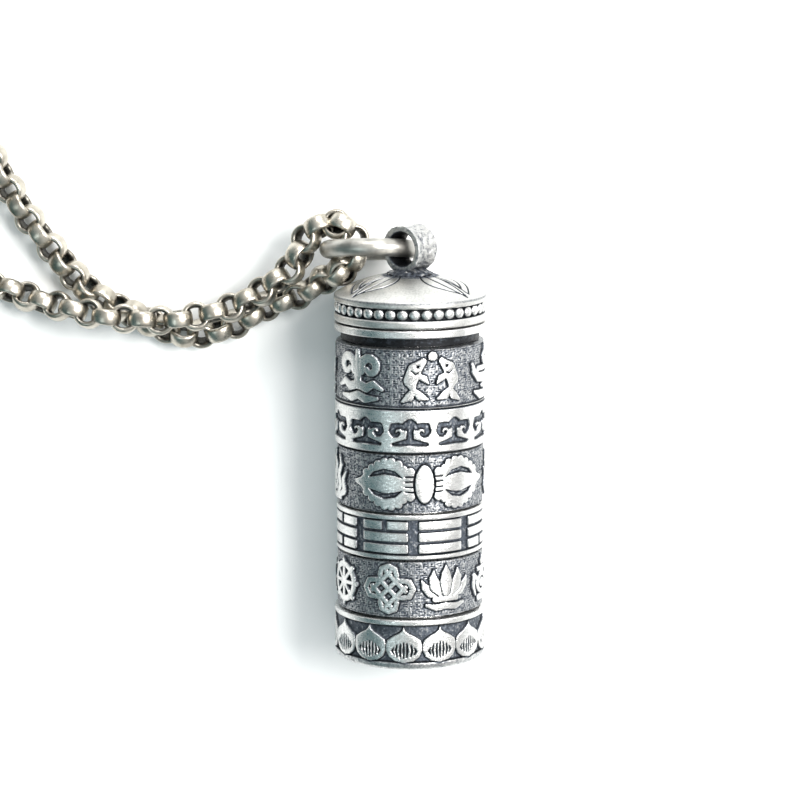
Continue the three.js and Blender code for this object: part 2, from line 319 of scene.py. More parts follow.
@dataclass(frozen=True)
class WireFinish:
    """Satin wire, as on the chain and the jump ring, with painted shade in the bores of the links.
    """

    name: str
    colour: tuple = (0.56, 0.525, 0.455)
    shade: tuple = (0.34, 0.31, 0.26)
    # The colour of the painted shade inside the links' bores.
    hollow: tuple = (0.012, 0.014, 0.014)
    roughness: float = 0.27
    grain_mm: float = 0.16
    grain_depth_mm: float = 0.004

    def build(self) -> bpy.types.Material:
        """Makes the material.

        Returns:
            The material.
        """
        shader = Shader(self.name)
        grain = shader.noise(self.grain_mm, 4.0, stretch=(1, 1, 3))
        cloud = shader.noise(0.9, 2.0)
        # Painted shade inside the links' bores, from the mesh's attribute.
        inner = shader.patina_and_shade()
        surface = shader.blend(cloud.step(0.35, 0.7), self.colour, self.shade)
        shader.set(
            Base_Color=shader.blend(inner, surface, self.hollow),
            Metallic=1.0,
            Roughness=self.roughness + grain.step(0.35, 0.7) * 0.14,
        )
        shader.bump(grain, self.grain_depth_mm)
        return shader.material


@dataclass(frozen=True)
class MattFinish:
    """A matt solid with a fibrous or cloudy pattern: paper, wood, thread or rubber."""

    name: str
    colour: tuple
    shade: tuple
    roughness: float
    spot_mm: float
    stretch: tuple = (1, 1, 1)
    depth_mm: float = 0.01

    def build(self) -> bpy.types.Material:
        """Makes the material.

        Returns:
            The material.
        """
        shader = Shader(self.name)
        fibre = shader.noise(self.spot_mm, 5.0, stretch=self.stretch)
        shader.set(
            Base_Color=shader.blend(fibre.step(0.3, 0.7), self.colour, self.shade),
            Roughness=self.roughness + (fibre - 0.5) * 0.1,
        )
        shader.bump(fibre, self.depth_mm)
        return shader.material


class Finishes:
    """Every finish of the pendant, made once."""

    def __init__(self) -> None:
        """Makes the materials."""
        self.oxidised = SilverFinish("oxidised_silver_relief").build()
        self.satin = SilverFinish(
            "satin_dome_silver", bright=(0.62, 0.615, 0.595), rubbed=(0.40, 0.40, 0.385),
            polish=0.36,
        ).build()
        self.hammered = SilverFinish(
            "hammered_bail_silver", bright=(0.60, 0.595, 0.585), rubbed=(0.36, 0.36, 0.355),
            polish=0.34, grain_mm=0.15, grain_depth_mm=0.035,
        ).build()
        self.polished = SilverFinish("polished_core_silver", polish=0.2, patina_and_shade=False).build()
        self.jump = WireFinish(
            "brushed_jump_ring", colour=(0.50, 0.485, 0.45), shade=(0.31, 0.30, 0.275),
            roughness=0.36, grain_depth_mm=0.012,
        ).build()
        self.chain = WireFinish("belcher_chain_silver").build()
        self.rubber = MattFinish(
            "gasket_rubber", (0.03, 0.03, 0.033), (0.055, 0.055, 0.06), 0.6, 0.2
        ).build()
        self.paper = MattFinish(
            "scroll_paper_fibre", (0.72, 0.60, 0.38), (0.58, 0.45, 0.25), 0.85, 0.5,
            stretch=(3, 0.6, 3),
        ).build()
        self.wood = MattFinish(
            "spindle_sandalwood", (0.33, 0.17, 0.08), (0.17, 0.08, 0.035), 0.5, 0.4,
            stretch=(4, 0.4, 4),
        ).build()
        self.thread = MattFinish(
            "scroll_thread_red", (0.45, 0.045, 0.03), (0.22, 0.02, 0.015), 0.8, 0.12
        ).build()


# ---- Drawing on the flat --------------------------------------------------------------------
# A drawing is a function of s, the distance round the wheel, and t, the distance along it, both
# in millimetres. It gives each point's distance from the drawn shape: below 0 inside it.


def stroke(
    s: Array, t: Array, start: tuple, end: tuple, r0: float, r1: "float | None" = None,
) -> Array:
    """A straight stroke with round ends.

    Args:
        s: distances round the wheel.
        t: distances along it.
        start: where the stroke begins.
        end: where it ends.
        r0: its half width at the start.
        r1: its half width at the end, or None for the same.

    Returns:
        The distance from the stroke.
    """
    r1 = r0 if r1 is None else r1
    ds, dt = end[0] - start[0], end[1] - start[1]
    along = ((s - start[0]) * ds + (t - start[1]) * dt) / max(ds * ds + dt * dt, 1e-9)
    along = np.clip(along, 0, 1)
    reach = np.hypot(s - start[0] - ds * along, t - start[1] - dt * along)
    return reach - (r0 + (r1 - r0) * along)


def path_stroke(s: Array, t: Array, points: Sequence[tuple], *widths: float) -> Array:
    """A stroke through several points, its half width running evenly through widths."""
    last = len(points) - 1
    radii = np.interp(np.linspace(0, 1, last + 1), np.linspace(0, 1, len(widths)), widths)
    parts = [
        stroke(s, t, points[i], points[i + 1], radii[i], radii[i + 1]) for i in range(last)
    ]
    return np.minimum.reduce(parts)


def curl(
    centre: tuple, radius: float, start: float, end: float, steps: int, shrink: float = 1.0,
) -> list[tuple]:
    """Points on an arc, or on a spiral where shrink isn't 1; angles in degrees."""
    points = []
    for i in range(steps + 1):
        share = i / steps
        angle = math.radians(start + (end - start) * share)
        reach = radius * (1 + (shrink - 1) * share)
        points.append((centre[0] + reach * math.cos(angle), centre[1] + reach * math.sin(angle)))
    return points


def oval(s: Array, t: Array, centre: tuple, rs: float, rt: float) -> Array:
    """A filled oval."""
    reach = np.hypot((s - centre[0]) / rs, (t - centre[1]) / rt)
    return (reach - 1) * min(rs, rt)


def bar(s: Array, t: Array, centre: tuple, half_s: float, half_t: float, corner: float) -> Array:
    """A filled bar with rounded corners."""
    ds = np.abs(s - centre[0]) - half_s + corner
    dt = np.abs(t - centre[1]) - half_t + corner
    outside = np.hypot(np.maximum(ds, 0), np.maximum(dt, 0))
    return outside + np.minimum(np.maximum(ds, dt), 0) - corner


def outline(s: Array, t: Array, points: Sequence[tuple]) -> Array:
    """A filled outline with straight sides between its points."""
    best = np.full(s.shape, 1e9)
    inside = np.zeros(s.shape, bool)
    for (s0, t0), (s1, t1) in zip(points, [*points[1:], points[0]]):
        best = np.minimum(best, stroke(s, t, (s0, t0), (s1, t1), 0.0))
        crosses = (t0 > t) != (t1 > t)
        reach = s0 + (t - t0) * (s1 - s0) / (t1 - t0 if t1 != t0 else 1e-9)
        inside ^= crosses & (s < reach)
    return np.where(inside, -best, best)


def join(*parts: Array) -> Array:
    """The union of several shapes."""
    return np.minimum.reduce(parts)


def cut(shape: Array, *holes: Array) -> Array:
    """A shape less its holes."""
    return np.maximum(shape, -np.minimum.reduce(holes))


def ramp(distance: Array, soft: float) -> Array:
    """1 inside a shape and 0 outside it, with a soft edge of that width outside it."""
    share = np.clip(1 - distance / soft, 0, 1)
    return share * share * (3 - 2 * share)


def fold(s: Array, pitch: float, phase: float) -> tuple[Array, Array]:
    """Splits a distance into repeats.

    Args:
        s: the distance.
        pitch: the length of one repeat.
        phase: where the middle of repeat 0 is.

    Returns:
        The distance from the middle of the nearest repeat, and the repeat's number.
    """
    number = np.round((s - phase) / pitch)
    return s - phase - number * pitch, number.astype(int)


# ---- Ornaments ------------------------------------------------------------------------------
# Each is drawn about (0, 0), for a place about 3.4 mm high.


def lamp_ornament(s: Array, t: Array) -> Array:
    """An altar lamp: a flame over a bowl on a foot."""
    m = np.abs(s)
    flame = cut(
        join(path_stroke(s, t, [(0.0, 1.65), (0.2, 1.3), (0.05, 0.95)], 0.08, 0.3, 0.38),
             oval(s, t, (0.0, 0.88), 0.5, 0.46)),
        oval(s, t, (0.0, 0.88), 0.16, 0.22),
    )
    bowl = path_stroke(m, t, [(1.9, 0.62), (1.7, 0.12), (1.15, -0.3), (0.0, -0.42)],
                       0.1, 0.28, 0.32)
    lip = stroke(m, t, (1.2, 0.26), (0.0, 0.22), 0.16)
    stem = stroke(s, t, (0, -0.4), (0, -1.3), 0.3, 0.26)
    ring = stroke(m, t, (0.0, -0.88), (0.55, -0.9), 0.14)
    foot = path_stroke(m, t, [(0.0, -1.45), (0.9, -1.45), (1.6, -1.2)], 0.26, 0.28, 0.1)
    return join(flame, bowl, lip, stem, ring, foot)


def fish_ornament(s: Array, t: Array) -> Array:
    """A pair of fish, head up and face to face, with a pearl over them."""
    m = np.abs(s)
    body = path_stroke(m, t, [(1.25, -0.75), (1.42, -0.1), (1.15, 0.6), (0.62, 1.1)],
                       0.12, 0.42, 0.42, 0.2)
    tail = join(path_stroke(m, t, [(1.25, -0.7), (0.85, -1.1), (0.35, -1.3)], 0.12, 0.26, 0.07),
                path_stroke(m, t, [(1.25, -0.7), (1.5, -1.15), (1.95, -1.45)], 0.12, 0.26, 0.07))
    fin = path_stroke(m, t, [(0.95, 0.2), (0.55, 0.0), (0.3, -0.3)], 0.16, 0.2, 0.05)
    eye = oval(m, t, (0.98, 0.78), 0.12, 0.12)
    gill = path_stroke(m, t, [(1.4, 0.5), (1.15, 0.3), (0.95, 0.38)], 0.05)
    return join(cut(join(body, tail, fin), eye, gill), oval(s, t, (0, 1.42), 0.3, 0.28))


def knot_ornament(s: Array, t: Array) -> Array:
    """An endless knot: crossing cords with a loop at each side."""
    slant = math.sqrt(0.5)
    u, v = (s + t) * slant, (t - s) * slant
    places = (-0.78, 0.0, 0.78)
    cords = [bar(u, v, (0, place), 1.12, 0.15, 0.1) for place in places]
    cords += [bar(u, v, (place, 0), 0.15, 1.12, 0.1) for place in places]
    m, n = np.abs(s), np.abs(t)
    loop = path_stroke(m, n, [(1.0, 0.62), (1.5, 0.55), (1.78, 0.0)], 0.17)
    crown = path_stroke(m, n, [(0.62, 1.0), (0.5, 1.45), (0.0, 1.66)], 0.17)
    return join(*cords, loop, crown)


def cloud_scroll_ornament(s: Array, t: Array) -> Array:
    """Two cloud scrolls back to back over a wave."""
    m = np.abs(s)
    scroll = path_stroke(m, t, curl((0.98, 0.62), 0.72, 200, -150, 12, 0.4), 0.28, 0.26, 0.16)
    stem = path_stroke(s, t, [(0.0, 1.6), (0.0, 0.2), (0.0, -0.6)], 0.14, 0.3, 0.24)
    wave = path_stroke(m, t, [(0.0, -0.5), (0.7, -0.72), (1.2, -0.42), (1.85, -0.75)],
                       0.28, 0.27, 0.1)
    tail = path_stroke(m, t, [(0.0, -1.2), (0.6, -1.42), (1.5, -1.35)], 0.24, 0.26, 0.1)
    return join(scroll, stem, wave, tail)


def wheel_ornament(s: Array, t: Array) -> Array:
    """An eight-spoked wheel."""
    spokes = 8
    reach = np.hypot(s, t)
    rim = np.abs(reach - 1.25) - 0.2
    half = TURN / (2 * spokes)
    angle = np.mod(np.arctan2(t, s) + half, TURN / spokes) - half
    spoke = np.maximum(np.abs(reach * np.sin(angle)) - 0.13, reach - 1.3)
    knob = np.hypot(reach * np.cos(angle) - 1.52, reach * np.sin(angle)) - 0.17
    return join(rim, spoke, knob, reach - 0.42)


def vase_ornament(s: Array, t: Array) -> Array:
    """A treasure vase with a jewel over it."""
    m = np.abs(s)
    belly = cut(oval(s, t, (0, -0.3), 1.08, 0.75), np.abs(oval(s, t, (0, -0.3), 0.55, 0.4)) - 0.07)
    lip = bar(s, t, (0, 0.8), 0.92, 0.17, 0.1)
    neck = bar(s, t, (0, 0.5), 0.42, 0.3, 0.1)
    foot = bar(s, t, (0, -1.3), 0.9, 0.22, 0.1)
    jewel = join(oval(s, t, (0, 1.28), 0.3, 0.26), stroke(s, t, (0, 1.4), (0, 1.66), 0.12, 0.03))
    sash = path_stroke(m, t, [(0.9, 0.1), (1.4, 0.42), (1.45, -0.4), (1.2, -1.0)], 0.14, 0.2, 0.08)
    return join(belly, lip, neck, foot, jewel, sash)


def lotus_ornament(s: Array, t: Array) -> Array:
    """An open lotus over water."""
    m = np.abs(s)
    heart = path_stroke(s, t, [(0.0, -0.3), (0.0, 0.45), (0.0, 1.0), (0.0, 1.6)],
                        0.3, 0.46, 0.34, 0.05)
    petal = path_stroke(m, t, [(0.3, -0.4), (0.82, 0.15), (1.0, 0.7), (0.98, 1.3)],
                        0.3, 0.42, 0.3, 0.05)
    leaf = path_stroke(m, t, [(0.45, -0.5), (1.2, -0.25), (1.6, 0.1), (1.85, 0.6)],
                       0.26, 0.36, 0.26, 0.05)
    base = bar(s, t, (0, -0.8), 1.05, 0.17, 0.14)
    ripple = path_stroke(m, t, [(0.0, -1.3), (0.8, -1.4), (1.5, -1.2)], 0.22, 0.22, 0.1)
    return join(heart, cut(petal, heart - 0.09), cut(leaf, petal - 0.09, heart), base, ripple)


def flame_jewel_ornament(s: Array, t: Array) -> Array:
    """A jewel with tongues of flame about it."""
    m = np.abs(s)
    jewel = cut(oval(s, t, (0, -0.55), 0.5, 0.52), oval(s, t, (0, -0.55), 0.16, 0.18))
    tongue = path_stroke(s, t, [(0.0, 0.1), (0.24, 0.65), (-0.12, 1.1), (0.05, 1.65)],
                         0.32, 0.26, 0.05)
    side = path_stroke(m, t, [(0.5, -1.25), (1.0, -0.6), (0.72, 0.1), (1.15, 0.75), (0.95, 1.4)],
                       0.18, 0.3, 0.22, 0.05)
    wing = path_stroke(m, t, [(0.9, -1.3), (1.6, -0.95), (1.45, -0.2), (1.85, 0.4)],
                       0.16, 0.26, 0.05)
    base = stroke(m, t, (0.0, -1.4), (1.1, -1.45), 0.2, 0.12)
    return join(jewel, tongue, side, wing, base)


def ruyi_cloud(s: Array, t: Array) -> Array:
    """The sunk cloud head of the bright ring: a hump, two curled arms, a stem and a foot."""
    m = np.abs(s)
    hump = path_stroke(m, t, [(0.0, 0.62), (0.22, 0.5), (0.42, 0.3)], 0.26, 0.22, 0.16)
    arm = path_stroke(m, t, [(0.3, 0.4), (0.75, 0.42), (1.1, 0.38), (1.2, 0.05), (1.1, -0.2)],
                      0.14, 0.17, 0.2, 0.19, 0.12)
    hook = path_stroke(m, t, [(1.1, -0.2), (0.88, -0.22), (0.76, -0.08)], 0.12, 0.1, 0.09)
    stem = path_stroke(s, t, [(0.0, 0.5), (0.0, 0.0), (0.0, -0.5)], 0.3, 0.15, 0.2)
    mound = path_stroke(m, t, [(0.0, -0.66), (0.55, -0.76), (1.15, -0.86)], 0.24, 0.15, 0.06)
    return join(hump, arm, hook, stem, mound)


def double_vajra(s: Array, t: Array) -> Array:
    """The vajra that lies along its ring: a middle boss and a scalloped head at each side."""
    m, n = np.abs(s), np.abs(t)
    head = outline(m, n, [
        (0.6, -0.2), (0.6, 0.88), (1.0, 0.98), (1.35, 1.0), (1.75, 1.4), (2.4, 1.55),
        (3.0, 1.42), (3.55, 1.1), (4.05, 0.7), (4.45, 0.3), (4.95, 0.1), (5.0, -0.2),
    ])
    scallop_places = ((0.95, 0.86), (1.4, 1.02), (1.72, 1.36), (2.2, 1.5), (2.68, 1.47),
                      (3.15, 1.28), (3.6, 1.0), (4.02, 0.68))
    scallops = [oval(m, n, place, 0.26, 0.24) for place in scallop_places]
    slot = path_stroke(m, n, [(1.45, 0.42), (2.0, 0.72), (2.7, 0.82), (3.4, 0.62), (3.8, 0.4)],
                       0.03, 0.17, 0.2, 0.17, 0.03)
    slits = [stroke(m, n, (0.72, offset), (1.25, offset * 0.95), 0.06) for offset in (0.18, 0.52)]
    boss = oval(s, t, (0, 0), 0.62, 1.23)
    return join(cut(join(head, *scallops), slot, *slits, boss - 0.17), boss)


def fret(s: Array, t: Array, pitch: float) -> Array:
    """A key fret: one square spiral to a cell, turned about in every other cell.

    Args:
        s: distances round the wheel.
        t: distances along it.
        pitch: the size of a cell.

    Returns:
        1 on the raised lines and 0 between them.
    """
    squat = 0.86
    v, row = fold(t, pitch * squat, 0.0)
    u, column = fold(s, pitch, 0.0)
    u = u / pitch * np.where(np.mod(row + column, 2) == 0, 1, -1)
    v = v / pitch / squat * np.where(np.mod(column, 2) == 0, 1, -1)
    spiral = path_stroke(u, v, [(-0.4, -0.5), (-0.4, 0.36), (0.38, 0.36), (0.38, -0.34),
                                (-0.12, -0.34), (-0.12, 0.06), (0.12, 0.06)], 0.09)
    return ramp(spiral, 0.1)


def scatter(u: Array, v: Array, seed: float) -> Array:
    """A random value from 0 to 1 for each whole u and v."""
    return np.mod(np.sin(u * 12.9898 + v * 78.233 + seed) * 43758.5453, 1)


def stipple(s: Array, t: Array, size: float, seed: float) -> Array:
    """Fine random punching, about 0 to 1."""
    value = np.zeros(s.shape)
    for octave, (scale, weight) in enumerate(((1.0, 0.6), (2.1, 0.4))):
        u, v = s * scale / size, t * scale / size
        cell_u, cell_v = np.floor(u), np.floor(v)
        fu, fv = u - cell_u, v - cell_v
        fu, fv = fu * fu * (3 - 2 * fu), fv * fv * (3 - 2 * fv)
        near, right, up, far = (
            scatter(cell_u + du, cell_v + dv, seed + octave)
            for du, dv in ((0, 0), (1, 0), (0, 1), (1, 1))
        )
        value += weight * (
            near * (1 - fu) * (1 - fv) + right * fu * (1 - fv)
            + up * (1 - fu) * fv + far * fu * fv
        )
    return value


@dataclass
class Relief:
    """Heights and darkness over a stretch of the wheel, being worked up drawing by drawing."""

    s: Array
    t: Array
    height: Array = field(init=False)
    dark: Array = field(init=False)

    WALL: ClassVar[float] = 0.06  # how wide the slope round a shape is
    CROWN: ClassVar[float] = 0.012  # how much a raised shape bulges

    def __post_init__(self) -> None:
        """Starts flat and bright."""
        self.height = np.zeros(self.s.shape)
        self.dark = np.zeros(self.s.shape)

    @property
    def around(self) -> float:
        """How far the stretch reaches round the wheel."""
        return float(self.s.max())

    @property
    def top(self) -> float:
        """How far the stretch reaches along the wheel."""
        return float(self.t.max())

    def nowhere(self) -> Array:
        """A distance that is far from every point, to join shapes to."""
        return np.full(self.s.shape, 9.0)

    def repeats(self, count: int, phase: float) -> tuple[Array, Array]:
        """Splits the way round into equal repeats.

        Args:
            count: how many there are.
            phase: where the middle of repeat 0 is, in degrees.

        Returns:
            The distance from the middle of the nearest repeat, and the repeat's number.
        """
        return fold(self.s, self.around / count, phase * self.around / 360)

    def darken(self, tone: "Array | float") -> None:
        """Makes each point at least as dark as the tone."""
        self.dark[:] = np.maximum(self.dark, tone)

    def sink_ground(self, depth: float, tone: float, pitch: float, seed: float) -> None:
        """Sinks the whole face and covers it with the fret and the punching."""
        lines = fret(self.s, self.t, pitch)
        punch = stipple(self.s, self.t, 0.12, seed)
        self.height[:] = -depth + 0.07 * lines + 0.05 * punch
        self.dark[:] = tone + 0.7 * (0.5 - lines) - 0.45 * (punch - 0.5)

    def raise_shape(
        self, distance: Array, level: float = 0.0, outline_width: float = 0.11,
    ) -> None:
        """Raises a shape to a level, bright on top, with a dark line round its foot."""
        inside = ramp(distance, self.WALL)
        edge = np.exp(-((np.maximum(distance - self.WALL * 0.6, 0)) / outline_width) ** 2)
        crown = self.CROWN * np.clip(-distance / 0.2, 0, 1)
        self.darken(edge)
        self.height[:] = self.height * (1 - inside) + (level - self.CROWN + crown) * inside
        self.dark[:] = self.dark * (1 - ramp(distance, self.WALL * 0.6))

    def engrave(self, distance: Array, depth: float, soft: float) -> None:
        """Cuts a shape in, black at the bottom."""
        inside = ramp(distance, soft)
        self.height[:] -= depth * inside
        self.darken(inside)

    def sink_shape(self, distance: Array, depth: float, tone: float, seed: float) -> None:
        """Sinks a shape with a punched floor and a dark line inside its edge."""
        inside = ramp(distance, self.WALL)
        punch = stipple(self.s, self.t, 0.16, seed)
        line = np.exp(-(np.minimum(distance, 0) / 0.075) ** 2)
        floor = tone + 0.5 * (0.5 - punch) + 0.5 * line
        self.height[:] -= (depth - 0.04 * punch) * inside
        self.darken(floor * inside)


# ---- Meshes ---------------------------------------------------------------------------------


def deselect_all() -> None:
    """Leaves edit mode and deselects everything."""
    if bpy.context.object and bpy.context.object.mode != "OBJECT":
        bpy.ops.object.mode_set(mode="OBJECT")
    bpy.ops.object.select_all(action="DESELECT")


def make_active(piece: bpy.types.Object) -> None:
    """Selects one piece alone and makes it the active one."""
    deselect_all()
    piece.select_set(True)
    bpy.context.view_layer.objects.active = piece


def join_pieces(pieces: Sequence[bpy.types.Object]) -> bpy.types.Object:
    """Joins pieces into the first of them and gives it back."""
    make_active(pieces[0])
    for piece in pieces:
        piece.select_set(True)
    bpy.ops.object.join()
    return pieces[0]


def all_coordinates(piece: bpy.types.Object) -> Array:
    """A mesh's points as an array of rows, in metres."""
    points = np.empty(len(piece.data.vertices) * 3)
    piece.data.vertices.foreach_get("co", points)
    return points.reshape(-1, 3)


def set_coordinates(piece: bpy.types.Object, points: Array) -> None:
    """Moves a mesh's points to the rows of an array, in metres."""
    piece.data.vertices.foreach_set("co", np.ascontiguousarray(points).ravel())
    piece.data.update()


def set_patina_and_shade(piece: bpy.types.Object, values: Array) -> None:
    """Stores how dark each of a piece's points is, held between 0 and 1: patina in hollows, and
    painted shade in the bores of the chain links and the bail.
    """
    shade = piece.data.attributes.new(PATINA_AND_SHADE, "FLOAT", "POINT")
    shade.data.foreach_set("value", np.clip(values, 0, 1).astype(np.float32))


def settle(piece: bpy.types.Object) -> None:
    """Applies the piece's place and turn, so that they are in its mesh."""
    make_active(piece)
    bpy.ops.object.transform_apply(location=True, rotation=True, scale=True)


def edit_whole(piece: bpy.types.Object, steps: Callable[[], None]) -> None:
    """Runs edit-mode steps with all of the piece selected."""
    make_active(piece)
    bpy.ops.object.mode_set(mode="EDIT")
    bpy.ops.mesh.select_all(action="SELECT")
    steps()
    bpy.ops.object.mode_set(mode="OBJECT")


def weld_and_face_out(piece: bpy.types.Object, gap: float = 1e-8) -> None:
    """Joins points that lie together and turns every face outwards."""

    def steps() -> None:
        bpy.ops.mesh.remove_doubles(threshold=gap)
        bpy.ops.mesh.normals_make_consistent(inside=False)

    edit_whole(piece, steps)


def smooth(piece: bpy.types.Object, angle: float) -> None:
    """Shades a piece smooth but for edges sharper than the angle, in degrees."""
    make_active(piece)
    bpy.ops.object.shade_smooth_by_angle(angle=math.radians(angle))


def apply_modifier(piece: bpy.types.Object, kind: str, **settings: object) -> None:
    """Adds a modifier with its settings and applies it."""
    make_active(piece)
    modifier = piece.modifiers.new(kind.title(), kind)
    for key, value in settings.items():
        setattr(modifier, key, value)
    bpy.ops.object.modifier_apply(modifier=modifier.name)


def finish_piece(
    piece: bpy.types.Object, name: str, body: str, material: bpy.types.Material,
    nodes: Sequence[str], angle: float,
) -> bpy.types.Object:
    """Names, dresses and hands over a finished piece.

    Args:
        piece: the object.
        name: its name.
        body: the body that it rides on.
        material: its finish.
        nodes: the CAD nodes that it stands for.
        angle: the angle that it is shaded smooth by, in degrees.

    Returns:
        The piece.
    """
    piece.name = name
    piece.data.name = name
    piece.data.materials.clear()
    piece.data.materials.append(material)
    smooth(piece, angle)
    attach(piece, body)
    if nodes:
        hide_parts(*nodes)
    log.info("%s: %d faces on %s", name, len(piece.data.polygons), body)
    return piece


def turned_piece(profile: Sequence[tuple], segments: int = 128) -> bpy.types.Object:
    """A piece turned about the wheel's axis.

    Args:
        profile: the closed section as (radius, y), in millimetres.
        segments: how many steps the turn takes.

    Returns:
        The closed piece.
    """
    deselect_all()
    bpy.ops.mesh.primitive_circle_add(vertices=len(profile), fill_type="NOTHING")
    piece = bpy.context.object
    set_coordinates(piece, np.array([(0.0, y, radius) for radius, y in profile]) * MM)
    edit_whole(piece, lambda: bpy.ops.mesh.spin(
        steps=segments, angle=TURN, center=(0, 0, 0), axis=(0, 1, 0),
    ))
    weld_and_face_out(piece, 1e-7)
    return piece


def ring_piece(
    circle: float, wire: float, around: int, section: int, **place: object,
) -> bpy.types.Object:
    """A round ring about its own Z.

    Args:
        circle: the radius to the middle of its wire, in millimetres.
        wire: the wire's radius, in millimetres.
        around: its segments round the ring.
        section: its segments round the wire.
        place: its location in metres and its rotation, where it has them.

    Returns:
        The ring.
    """
    deselect_all()
    bpy.ops.mesh.primitive_torus_add(
        major_segments=around, minor_segments=section, major_radius=circle * MM,
        minor_radius=wire * MM, **place,
    )
    return bpy.context.object


def copy_of(node: str, name: str) -> bpy.types.Object:
    """A welded copy of a CAD node's mesh, to be finished as a piece."""
    piece = bpy.data.objects.new(name, frame["nodes"][node].data.copy())
    bpy.context.collection.objects.link(piece)
    weld_and_face_out(piece, 2e-7)
    return piece


def rounded(profile: Sequence[tuple], radius: float, steps: int = 3) -> list[tuple]:
    """A closed section with each corner off the axis rounded, in millimetres."""
    longest = 0.45  # how much of a side one corner's rounding may take
    points = [Vector(corner) for corner in profile]
    result = []
    for index, corner in enumerate(points):
        before = points[index - 1] - corner
        after = points[(index + 1) % len(points)] - corner
        reach = min(radius, before.length * longest, after.length * longest)
        if corner.x < 1e-6:
            result.append(tuple(corner))
            continue
        start, end = corner + before.normalized() * reach, corner + after.normalized() * reach
        for step in range(steps + 1):
            share = step / steps
            result.append(tuple(start.lerp(corner, share).lerp(corner.lerp(end, share), share)))
    return result


@dataclass
class ReliefTurning:
    """A turned piece whose outer face carries relief.

    The closed section is the face, cut into even rows that carry the relief, and then the plain
    back, which is left as its corners. Both are lists of (radius, y), in millimetres.
    """

    face: list[tuple]
    back: list[tuple]
    rows: int
    work: Callable[[Relief], None]
    columns: int = 768
    back_tone: float = 0.35

    def section(self) -> tuple[Array, Array, Array]:
        """Works out the face's rows.

        Returns:
            Their points, their outward directions, and the distance along the face.
        """
        face = np.array(self.face, float)
        lengths = np.hypot(*np.diff(face, axis=0).T)
        total = np.concatenate([[0], np.cumsum(lengths)])
        along = np.linspace(0, total[-1], self.rows + 1)
        points = np.stack([np.interp(along, total, face[:, k]) for k in (0, 1)], axis=1)
        tangent = np.gradient(points, axis=0)
        tangent /= np.hypot(*tangent.T)[:, None]
        outward = np.stack([tangent[:, 1], -tangent[:, 0]], axis=1)
        return points, outward, along

    def build(self) -> bpy.types.Object:
        """Makes the mesh.

        Returns:
            The closed piece, with its darkness attribute.
        """
        points, outward, along = self.section()
        back = np.array(self.back, float)
        loop = len(points) + len(back)
        deselect_all()
        bpy.ops.mesh.primitive_grid_add(x_subdivisions=self.columns, y_subdivisions=loop)
        piece = bpy.context.object
        grid = all_coordinates(piece)
        columns = np.rint((grid[:, 0] + 1) / 2 * self.columns).astype(int)
        rows = np.rint((grid[:, 1] + 1) / 2 * loop).astype(int) % loop
        angle = columns * TURN / self.columns
        arc_radius = float(np.max(points[:, 0]))
        s, t = np.meshgrid(np.arange(self.columns + 1) * TURN / self.columns * arc_radius, along)
        relief = Relief(np.mod(s, TURN * arc_radius), t)
        self.work(relief)
        relief.height[:, -1] = relief.height[:, 0]
        relief.dark[:, -1] = relief.dark[:, 0]
        faced = rows < len(points)
        face_rows = np.where(faced, rows, 0)
        section = np.concatenate([points, back])[rows]
        rise = np.where(faced, relief.height[face_rows, columns], 0.0)
        direction = outward[face_rows]
        radius = section[:, 0] + rise * direction[:, 0]
        height = section[:, 1] + rise * direction[:, 1]
        placed = np.stack([radius * np.sin(angle), height, radius * np.cos(angle)], axis=1)
        set_coordinates(piece, placed * MM)
        set_patina_and_shade(piece, np.where(faced, relief.dark[face_rows, columns], self.back_tone))
        weld_and_face_out(piece)
        return piece


# ---- Camera, light and floor ----------------------------------------------------------------


